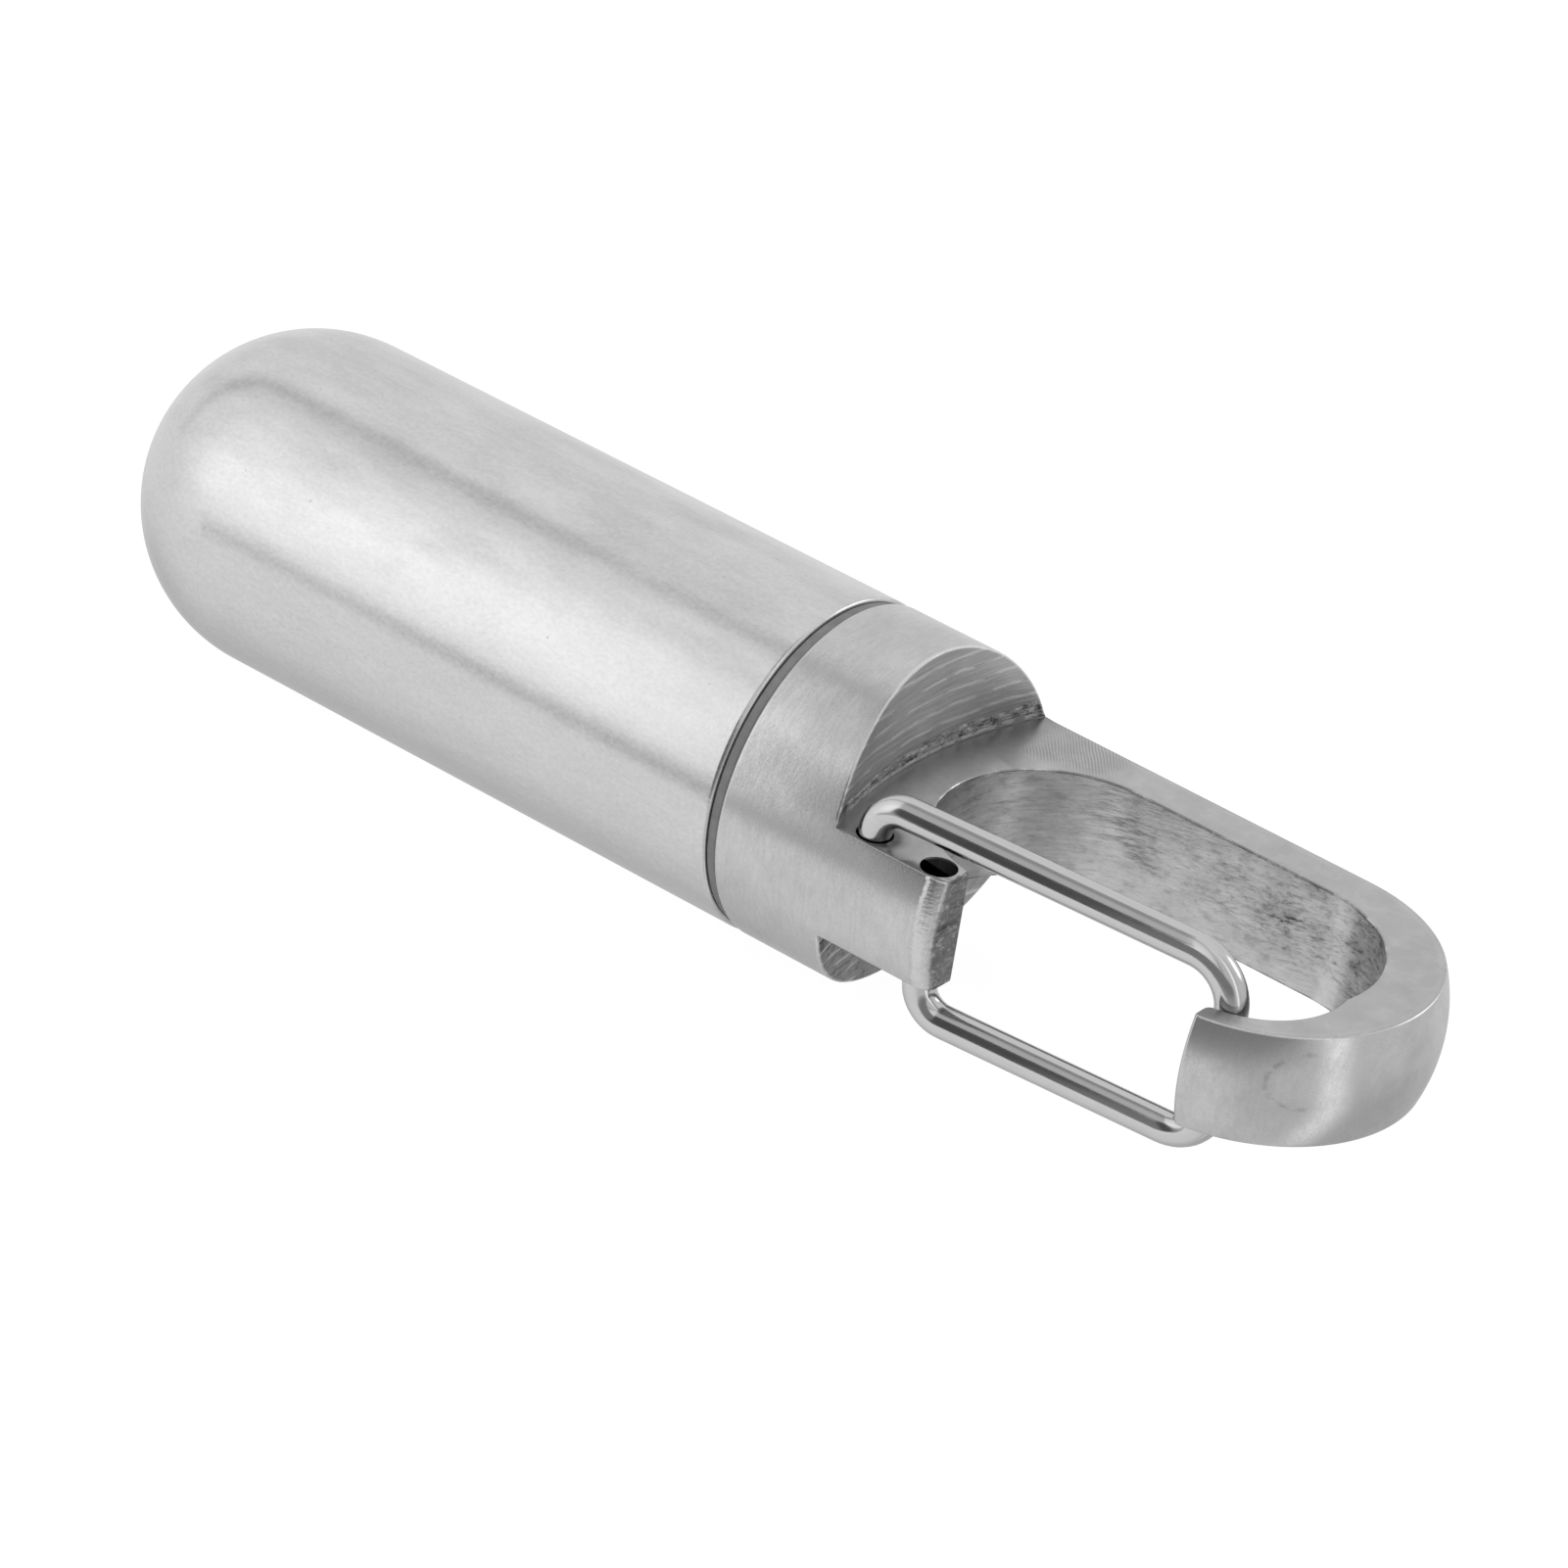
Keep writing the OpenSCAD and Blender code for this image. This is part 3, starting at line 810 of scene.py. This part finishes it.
class FOB_OT_add_barrel(bpy.types.Operator):
    """Adds the tube: its round end, the pill space inside and the thread in its mouth"""

    bl_idname = "fob.add_barrel"
    bl_label = "Add Barrel"

    def execute(self, context):
        fob = plan_of(context.scene)
        r, b, lead, lip = fob.radius, fob.edge_break, fob.lead_in, 0.05
        dome = [
            (fob.dome_x - r * math.cos(a), r * math.sin(a) if i else 0.0)
            for i, a in enumerate(spread(0.0, math.pi / 2, 41))
        ]
        side = [(x, r) for x in spread(fob.dome_x, fob.mouth_x - b, 12)[1:-1]]
        side.append((fob.mouth_x - b - SUPPORT, r))
        mouth = [(fob.mouth_x - b + b * s, r - b * c) for s, c in quarter(4)]
        thread_end_x = fob.mouth_x - fob.thread_bore
        floor_x = fob.dome_x - fob.floor_lap
        drill_x = floor_x - fob.cavity_radius * math.tan(DRILL_SLOPE)
        inside = [
            (fob.mouth_x, fob.bore_radius + lead + lip),
            (fob.mouth_x - lip, fob.bore_radius + lead),
            (fob.mouth_x - lead, fob.bore_radius),
            (thread_end_x, fob.bore_radius),
            (thread_end_x, fob.cavity_radius),
            (floor_x, fob.cavity_radius),
            (drill_x, 0.0),
        ]
        bm = bmesh.new()
        spin_profile(bm, dome + side + mouth + inside, 256)
        start_x = fob.mouth_x - lead - fob.thread_pitch / 2
        end_x = thread_end_x + fob.thread_pitch / 2
        spin_thread(bm, fob, start_x, end_x, fob.bore_radius - 0.5, fob.bore_radius + THREAD_SUNK, 0.5)
        piece = piece_from(bm, "barrel_shell", tube_finish(context.scene))
        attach(piece, "barrel")
        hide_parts("barrel")
        return {"FINISHED"}


class FOB_OT_add_seal_ring(bpy.types.Operator):
    """Adds the rubber seal between the tube and the cap"""

    bl_idname = "fob.add_seal_ring"
    bl_label = "Add Seal Ring"

    def execute(self, context):
        fob = plan_of(context.scene)
        middle, half_w, chamfer = -fob.seal_gap / 2, fob.seal_gap * 0.46, 0.08
        rim_r = fob.radius - fob.seal_recess
        corner = half_w * 0.35
        rim = [(middle - half_w + corner * c, rim_r - corner + corner * s) for s, c in quarter(5)]
        rim += [(2 * middle - x, radius) for x, radius in reversed(rim)]
        inner = [
            (middle + half_w, fob.seal_inner + chamfer),
            (middle + half_w - chamfer, fob.seal_inner),
            (middle - half_w + chamfer, fob.seal_inner),
            (middle - half_w, fob.seal_inner + chamfer),
        ]
        bm = bmesh.new()
        spin_profile(bm, rim + inner + rim[:1], 224)
        piece = piece_from(bm, "seal_band", rubber_finish(context.scene))
        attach(piece, "seal")
        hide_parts("seal_ring")
        return {"FINISHED"}


def arc(centre, radius, start, end, count, start_trim=0.0, end_trim=0.0):
    """Points round an arc between two angles, with a length left off at either end."""
    way = 1 if end > start else -1
    first, last = start + way * start_trim / radius, end - way * end_trim / radius
    return [centre + radius * Vector((math.cos(a), math.sin(a))) for a in spread(first, last, count)]


def straight(start, end, count, start_trim=0.0, end_trim=0.0):
    """Points along a line, with a length left off at either end."""
    way = (end - start).normalized()
    first, last = start + way * start_trim, end - way * end_trim
    return [first.lerp(last, t) for t in spread(0.0, 1.0, count)]


def corner_round(before, corner, after, count):
    """Points between two runs that stop short of their corner, on a rounded way past it."""
    one, two = before[-1], after[0]
    points = []
    for t in spread(0.0, 1.0, count + 2)[1:-1]:
        weights = ((1 - t) ** 2, 2 * t * (1 - t) * 0.72, t**2)
        points.append((one * weights[0] + corner * weights[1] + two * weights[2]) / sum(weights))
    return points


def angle(centre, point):
    """The direction from a centre to a point, in radians."""
    return math.atan2(point.y - centre.y, point.x - centre.x)


def hook_outline(fob, z, inset):
    """The hook's outline at a height, from the shoulder round the stub, the eye, the nose and the
    round end and back to the shoulder, moved into the metal by inset."""
    bulge = math.sqrt(fob.radius**2 - z**2)
    corner_x, eased_x = fob.corner.x, fob.corner.x + RIM_EASE
    stub_x, nose_x = fob.stub_end_x - inset, fob.nose_tip_x + inset
    eye_r, pocket_r, end_r = fob.eye_r + inset, fob.nose_cutter + inset, bulge - inset
    near, far, pocket, dome = fob.eye_near, fob.eye_far, fob.pocket, Vector((fob.hook_dome_x, 0.0))

    def side(x, sign, moved):
        """A point of the outside, moved in beside the shoulder no more than its corner allows."""
        return Vector((x, sign * (bulge - moved * ease(x, corner_x, eased_x))))

    thin = inset * 0.45  # beside the holes, where the stub's wall is thin
    stub_out, stub_in = side(stub_x, -1, thin), below(near, eye_r, stub_x)
    nose_in, nose_out = below(pocket, pocket_r, nose_x), below(dome, end_r, nose_x)
    cusp = max(meeting_of_circles(far, eye_r, pocket, pocket_r), key=lambda p: p.x)
    rail_y = fob.eye_y + eye_r

    stub_xs = spread(corner_x, eased_x, 9) + spread(eased_x, stub_x - STUB_WORN, 12)[1:]
    stub_side = [side(x, -1, thin) for x in stub_xs]
    stub_face = straight(stub_out, stub_in, 6, STUB_WORN, STUB_ROUND)
    near_arc = arc(near, eye_r, angle(near, stub_in) + 2 * math.pi, math.pi / 2, 73, STUB_ROUND)
    rail_wall = straight(Vector((near.x, rail_y)), Vector((far.x, rail_y)), 14)
    far_arc = arc(far, eye_r, math.pi / 2, angle(far, cusp), 40)
    pocket_arc = arc(pocket, pocket_r, angle(pocket, cusp), angle(pocket, nose_in), 34, 0.0, NOSE_ROUND)
    nose_face = straight(nose_in, nose_out, 6, NOSE_ROUND, NOSE_ROUND)
    dome_arc = arc(dome, end_r, angle(dome, nose_out), math.pi / 2, 129, NOSE_ROUND)
    rail_xs = spread(fob.hook_dome_x, eased_x, 16) + spread(eased_x, corner_x, 9)[1:]
    rail_side = [side(x, 1, inset) for x in rail_xs]

    run = stub_side + corner_round(stub_side, stub_out, stub_face, 9) + stub_face
    run += corner_round(stub_face, stub_in, near_arc, 4) + near_arc
    run += rail_wall[1:] + far_arc[1:] + pocket_arc[1:]
    run += corner_round(pocket_arc, nose_in, nose_face, 5) + nose_face
    run += corner_round(nose_face, nose_out, dome_arc, 5) + dome_arc + rail_side[1:]
    return [(p.x, p.y, z) for p in run]


def cap_rows(fob, angles, side_count):
    """Rows of points of the cap's upper half: first its spigot, face, round side and the rim of
    the shoulder, then the shoulder's rounding and wall."""
    root, depth, r, b = fob.spigot_root, fob.thread_depth, fob.radius, fob.edge_break
    last = len(angles) - 1
    groove = 0.08  # the small hollow where the spigot meets the cap's face

    def ring(x, radius):
        return [
            (x, radius * math.cos(t), radius * math.sin(t) if 0 < i < last else 0.0)
            for i, t in enumerate(angles)
        ]

    def rounding(z):
        """The rounding of the shoulder's rim, which is less where the shoulder is low."""
        return min(fob.rim_round, 0.4 * max(0.0, z - fob.half))

    rows = [
        ring(-fob.spigot, 0.0),
        ring(-fob.spigot, root - depth),
        ring(-fob.spigot + depth, root),
        ring(-groove, root),
        ring(0.0, root + groove),
    ]
    rows += [ring(b * c, r - b + b * s) for s, c in quarter(4)]
    rows += [ring(x, r) for x in (b + SUPPORT, fob.cap_length * 0.35, fob.cap_length * 0.7)]
    across = [(r * math.cos(t), r * math.sin(t)) for t in angles]
    rim = []
    for i, (y, z) in enumerate(across):
        if side_count <= i <= last - side_count:
            rim.append((shoulder_place(fob, y) - rounding(z), y, z))
        else:
            rim.append((fob.corner.x, y, z if 0 < i < last else 0.0))
    rows += [[(x - SUPPORT, y, z) for x, y, z in rim], rim]
    walls = [
        [(shoulder_place(fob, y) - rounding(z) * (1 - s), y, z - rounding(z) * c) for y, z in across]
        for s, c in quarter(4)[1:]
    ]
    for down in (0.33, 0.66, 1.0):
        walls.append([
            (shoulder_place(fob, y), y, (z - rounding(z)) * (1 - down) + fob.half * down)
            for y, z in across
        ])
    return rows, walls


def cover_flat(bm, foot, outline, circles):
    """Fills the hook's flat face between the shoulder's foot, the outline and the two holes. Cuts
    from the shoulder through the holes to the stub's end make two plain faces of it."""
    found = KDTree(len(bm.verts))
    bm.verts.ensure_lookup_table()
    for number, vert in enumerate(bm.verts):
        found.insert(vert.co, number)
    found.balance()

    def face(points):
        run = [bm.verts[found.find(point)[1]] for point in points]
        run = [vert for vert, last in zip(run, run[-1:] + run[:-1]) if vert is not last]
        return bm.faces.new(run)

    first, second = circles
    level = first[0][1]
    cut = min(range(len(foot)), key=lambda i: abs(foot[i][1] - level))
    stub_points = [i for i, point in enumerate(outline) if i < len(outline) // 6]
    stub_face = max(stub_points, key=lambda i: outline[i][0] - abs(outline[i][1] - level))
    half = len(first) // 2
    lower_side = [0] + list(range(len(first) - 1, half - 1, -1))
    upper_side = range(half + 1)
    strip = foot[cut:] + outline[1 : stub_face + 1]
    strip += [circle[i] for circle in (second, first) for i in lower_side]
    rest = foot[cut::-1] + outline[len(outline) - 2 : stub_face - 1 : -1]
    rest += [circle[i] for circle in (second, first) for i in upper_side]
    bmesh.ops.triangulate(bm, faces=[face(strip), face(rest)], ngon_method="BEAUTY")


class FOB_OT_add_hook_cap(bpy.types.Operator):
    """Adds the screw cap and the hook, which are one piece of metal"""

    bl_idname = "fob.add_hook_cap"
    bl_label = "Add Hook Cap"

    def execute(self, context):
        fob = plan_of(context.scene)
        turn = fob.edge_round
        layers = [(z, 0.0) for z in spread(0.0, fob.half - turn, 17)]
        layers += [(fob.half - turn + turn * s, turn * c) for s, c in quarter(5)[1:]]
        side_angles = [math.asin(z / fob.radius) for z, inset in layers]
        edge = side_angles[-1]
        angles = side_angles + spread(edge, math.pi - edge, 161)[1:-1]
        angles += [math.pi - a for a in reversed(side_angles)]
        side_count = len(layers) - 1
        top = range(side_count, len(angles) - side_count)

        bm = bmesh.new()
        rows, walls = cap_rows(fob, angles, side_count)
        edges = skin(bm, rows)
        place = bm.verts.layers.int.get("place")
        edges = [item for item in edges if all(vert[place] in top for vert in item.verts)]
        for points in walls:
            edges = next_row(bm, edges, points)
        skin(bm, [hook_outline(fob, z, inset) for z, inset in layers])
        circles = []
        for hole in (fob.first_hole, fob.second_hole):
            circle = arc(hole, fob.hole_r, 0.0, 2 * math.pi, 49)[:-1]
            rows = [[(*point, z) for point in circle] for z in (fob.half, fob.half / 2, 0.0)]
            skin(bm, rows, closed=True)
            circles.append(rows[0])
        bmesh.ops.remove_doubles(bm, verts=bm.verts, dist=1e-4)
        bmesh.ops.dissolve_degenerate(bm, edges=bm.edges, dist=1e-5)
        foot = walls[-1][side_count : len(angles) - side_count]
        cover_flat(bm, foot, hook_outline(fob, *layers[-1]), circles)
        everything = bm.verts[:] + bm.edges[:] + bm.faces[:]
        bmesh.ops.mirror(bm, geom=everything, matrix=Matrix.Identity(4), merge_dist=1e-4, axis="Z")
        end_x = -fob.spigot + fob.thread_depth + fob.thread_pitch / 2
        start_x = fob.mouth_x - fob.thread_pitch
        crest_r = fob.spigot_root + fob.thread_depth
        spin_thread(bm, fob, start_x, end_x, crest_r, fob.spigot_root - THREAD_SUNK, 0.0)
        piece = piece_from(bm, "hook_and_cap", hook_finish(context.scene))
        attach(piece, "hook")
        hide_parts("hook_cap")
        return {"FINISHED"}


def leg_stations(fob, hole, sign, pin_z):
    """Places, directions and sideways directions along one of the gate's legs, from the pin's end,
    over the heel, along the leg and down half the crossbar. The lower leg's sign is -1."""
    up = Vector((0.0, 0.0, 1.0))
    way = (fob.crossbar - hole).normalized().to_3d()
    run = (fob.crossbar - hole).length
    base = hole.to_3d()
    across = up.cross(way) * sign
    heel_z, tip_z = fob.leg_z - fob.heel_r, fob.leg_z - fob.tip_r
    made = [(base + up * z, up, across) for z in spread(pin_z, heel_z, PIN_STEPS + 1)]
    for a in spread(0.0, math.pi / 2, HEEL_STEPS + 1)[1:]:
        out, rise = fob.heel_r * (1 - math.cos(a)), fob.heel_r * math.sin(a)
        middle = base + way * out + up * (heel_z + rise)
        made.append((middle, up * math.cos(a) + way * math.sin(a), across))
    for s in spread(fob.heel_r, run - fob.tip_r, LEG_STEPS + 1)[1:]:
        made.append((base + way * s + up * fob.leg_z, way, across))
    for a in spread(0.0, math.pi / 2, TIP_STEPS + 1)[1:]:
        out, drop = fob.tip_r * math.sin(a), fob.tip_r * (1 - math.cos(a))
        middle = base + way * (run - fob.tip_r + out) + up * (fob.leg_z - drop)
        made.append((middle, way * math.cos(a) - up * math.sin(a), across))
    for z in spread(tip_z, 0.0, BAR_STEPS + 1)[1:]:
        made.append((fob.crossbar.to_3d() + up * z, -up, across))
    if sign < 0:
        flip = Vector((1.0, 1.0, -1.0))
        made = [(m * flip, w * flip, c) for m, w, c in made]
    return made


def wire_over(stations, radius):
    """A closed wire over its stations, which are (place, direction, sideways direction)."""
    rows = []
    for middle, way, across in stations:
        way, across = way.normalized(), across.normalized()
        other = way.cross(across)
        rows.append([
            middle + radius * (math.cos(a) * across + math.sin(a) * other)
            for a in spread(0.0, 2 * math.pi, WIRE_SIDES + 1)[:-1]
        ])
    bm = bmesh.new()
    skin(bm, rows, closed=True)
    bmesh.ops.holes_fill(bm, edges=[edge for edge in bm.edges if edge.is_boundary], sides=0)
    return bm


def in_frame(x, y, z):
    """A place in millimetres from the cap's face as metres in the part's frame."""
    return (CAP_FACE + x / 1000, y / 1000, AXIS_HEIGHT + z / 1000)


class FOB_OT_add_wire_gate(bpy.types.Operator):
    """Adds the gate's wire: the bow, on the gate's own body, and the lower leg from the second hole"""

    bl_idname = "fob.add_wire_gate"
    bl_label = "Add Wire Gate"

    def execute(self, context):
        fob = plan_of(context.scene)
        upper = leg_stations(fob, fob.first_hole, 1, fob.half - fob.upper_pin)
        lower = leg_stations(fob, fob.second_hole, -1, fob.half - fob.lower_pin)
        seam = PIN_STEPS + HEEL_STEPS + LEG_STEPS - SEAM_BACK
        back = [(m, -w, -c) for m, w, c in reversed(lower[seam:-1])]
        finish = wire_finish(context.scene)
        piece = piece_from(wire_over(upper + back, fob.wire_r), "gate_bow", finish)
        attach(piece, "gate")
        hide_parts("wire_gate")
        leg = wire_over(lower[: seam + 1], fob.wire_r)
        piece = piece_from(leg, "gate_lower_leg", finish)
        start = in_frame(fob.second_hole.x + 0.8, fob.second_hole.y, -fob.leg_z)
        end = in_frame(lower[seam][0].x - 0.3, fob.second_hole.y, -fob.leg_z)
        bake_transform(piece)
        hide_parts("wire_gate")
        return {"FINISHED"}


# ---------------------------------------------------------------------------
# The stage


def area_light(name, place, aim, width, height, radiance):
    """A soft rectangular lamp that faces a point. The metal mirrors the studio's sky, not the lamp."""
    lamp = bpy.data.lights.new(name, "AREA")
    lamp.shape = "RECTANGLE"
    lamp.size, lamp.size_y = width, height
    lamp.energy = radiance * width * height * math.pi
    body = add_to_scene(name, lamp)
    body.location = place
    body.rotation_euler = (Vector(aim) - Vector(place)).to_track_quat("-Z", "Y").to_euler()
    body.visible_glossy = False


def dim_card(name, place, across, upward, levels, fade, sides, lean=0.0, slope=0.0, tilt=0.0):
    """A dark card that only reflections see, upright at its place, or tilted back from there. Its
    brightness goes from the first level to the second between the heights of fade, and it fades
    out over the widths given for its sides. Lean slants its left side, slope the fade."""
    (left, right), (foot, head) = across, upward
    reach = left - max(lean * foot, lean * head)
    bm = bmesh.new()
    corners = ((reach, foot), (right, foot), (right, head), (reach, head))
    bmesh.ops.contextual_create(bm, geom=[bm.verts.new((x, 0.0, z)) for x, z in corners])
    look = Finish(name)
    x, _, z = look.parts(look.node("ShaderNodeTexCoord", out=3))
    low, high = levels
    level = (z + x * slope).step(*fade) * (high - low) + low
    cover = (x + z * lean).step(left, left + sides[0]) * x.step(right, right - sides[1])
    clear = look.node("ShaderNodeBsdfTransparent")
    glow = look.glow("ShaderNodeEmission", level)
    look.output(look.node("ShaderNodeMixShader", None, {0: cover, 1: clear, 2: glow}))
    card = object_from(bm, name, look.material)
    card.location = place
    card.rotation_euler = (tilt, 0.0, 0.0)
    card.visible_camera = card.visible_diffuse = False
    card.visible_transmission = card.visible_shadow = False


def studio_sky(scene):
    """The pale studio round the fob: white where it is seen, and for the metal a bright soft box
    to the front and left in a paler room, dimmer below and on the right."""
    world = bpy.data.worlds.new("Pale studio")
    world.use_nodes = True
    sky = NodeWork(world.node_tree)
    way = sky.node("ShaderNodeTexCoord")
    x, y, z = sky.parts(way)
    room = sky.ramp(sky.along(way, SOFT_BOX_WAY).half_turns(), ROOM_LEVELS)
    longer = sky.node(
        "ShaderNodeVectorMath", {"operation": "NORMALIZE"}, {0: sky.vector(x * 0.82, y, z)}
    )
    ring = sky.along(longer, SOFT_BOX_WAY).half_turns().line(0.314, 0.036) * z.step(-0.05, 0.2)
    spot = sky.along(way, SPOT_WAY).step(0.955, 0.985)
    under = y.step(-0.6, 0.4) * z.step(-0.3, -0.7)
    right = x.step(0.1, 0.6)
    beside = (y / x.most(0.05) + z.step(-0.66, -0.31) * 0.13) * (0.5 + z.step(-0.7, -0.3) * 0.5)
    gleam = beside.line(0.0, 0.18) * right
    shine = 1 - right * (0.22 - y.step(0.1, 0.4) * 0.16) + gleam
    studio = room * 1.48 * (1 - under * 0.32) * shine * (1 - ring * 0.42) + spot * 1.3
    seen, mirrored = sky.seen(), sky.node("ShaderNodeLightPath", out=3)
    level = seen + (1 - seen) * (mirrored * studio + (1 - mirrored) * 0.55)
    light = sky.glow("ShaderNodeBackground", level)
    sky.node("ShaderNodeOutputWorld", None, {"Surface": light})
    scene.world = world


def photo_camera(scene):
    """The camera at the photograph's place."""
    camera = bpy.data.cameras.new("Camera")
    camera.sensor_width = SENSOR
    camera.lens = FOCUS / PHOTO_SIDE * SENSOR
    camera.clip_end = 10.0
    viewer = add_to_scene("Camera", camera)
    back = Vector((
        math.sin(AZIMUTH) * math.cos(ELEVATION),
        -math.cos(AZIMUTH) * math.cos(ELEVATION),
        math.sin(ELEVATION),
    ))
    right = Vector((math.cos(AZIMUTH), math.sin(AZIMUTH), 0.0))
    above = back.cross(right)
    across = math.cos(ROLL) * right + math.sin(ROLL) * above
    upward = -math.sin(ROLL) * right + math.cos(ROLL) * above
    place = back * CAMERA_BACK - across * CAMERA_LEFT - upward * CAMERA_DOWN
    place = place * CAMERA_UNIT + Vector(CAMERA_POINT)
    turn = Matrix((across, upward, back)).transposed().to_4x4()
    viewer.matrix_world = Matrix.Translation(place) @ turn
    scene.camera = viewer


class FOB_OT_set_stage(bpy.types.Operator):
    """Sets the pale floor, the soft studio light and the camera"""

    bl_idname = "fob.set_stage"
    bl_label = "Set Stage"

    def execute(self, context):
        scene = context.scene
        scene.view_settings.view_transform = "Standard"

        bm = bmesh.new()
        bmesh.ops.create_grid(bm, x_segments=1, y_segments=1, size=2.0)
        bmesh.ops.translate(bm, vec=(0, 0, -0.00002), verts=bm.verts)
        look = Finish("Pale floor")
        paper = look.noise(look.node("ShaderNodeTexCoord", out=3), 900.0, 2.0)
        tint = look.mix(paper, solid(scene.fob_tones.floor, 0.99), solid(scene.fob_tones.floor, 1.01))
        matt = look.node("ShaderNodeBsdfDiffuse", None, {"Color": tint})
        glow = look.glow("ShaderNodeEmission", 1.04)
        look.output(look.node("ShaderNodeMixShader", None, {0: look.seen() * 0.93, 1: matt, 2: glow}))
        floor = object_from(bm, "floor", look.material)
        floor.visible_glossy = False

        studio_sky(scene)
        middle = (0.0, 0.0, AXIS_HEIGHT)
        area_light("Front softbox", (-0.32, -0.55, 0.40), middle, 0.55, 0.45, 1.6)
        area_light("Overhead softbox", (0.1, 0.25, 0.75), middle, 0.8, 0.6, 1.6)
        for name, sizes in DIM_CARDS.items():
            dim_card(name, **sizes)
        photo_camera(scene)
        return {"FINISHED"}


class FOB_PT_sidebar(bpy.types.Panel):
    """Lists the fob's pieces, with the sizes and colours that they are built from"""

    bl_idname = "FOB_PT_sidebar"
    bl_label = "Pill Fob"
    bl_space_type = "VIEW_3D"
    bl_region_type = "UI"
    bl_category = "Pill Fob"

    def draw(self, context):
        layout = self.layout
        for operator in OPERATORS:
            layout.operator(operator.bl_idname)
        for key in GROUPS:
            group = getattr(context.scene, key)
            box = layout.box()
            for name in type(group).__annotations__:
                box.prop(group, name)


GROUPS = {
    "fob_tube": FobTubeSizes,
    "fob_hook": FobHookSizes,
    "fob_gate": FobGateSizes,
    "fob_tones": FobTones,
}
OPERATORS = (
    FOB_OT_add_barrel,
    FOB_OT_add_seal_ring,
    FOB_OT_add_hook_cap,
    FOB_OT_add_wire_gate,
    FOB_OT_set_stage,
)


def register():
    for group in GROUPS.values():
        bpy.utils.register_class(group)
    for key, group in GROUPS.items():
        setattr(bpy.types.Scene, key, bpy.props.PointerProperty(type=group))
    for operator in OPERATORS:
        bpy.utils.register_class(operator)
    bpy.utils.register_class(FOB_PT_sidebar)


def unregister():
    bpy.utils.unregister_class(FOB_PT_sidebar)
    for operator in reversed(OPERATORS):
        bpy.utils.unregister_class(operator)
    for key, group in GROUPS.items():
        delattr(bpy.types.Scene, key)
        bpy.utils.unregister_class(group)


def main():
    register()
    bpy.ops.fob.add_barrel()
    bpy.ops.fob.add_seal_ring()
    bpy.ops.fob.add_hook_cap()
    bpy.ops.fob.add_wire_gate()
    bpy.ops.fob.set_stage()


if __name__ == "__main__":
    main()
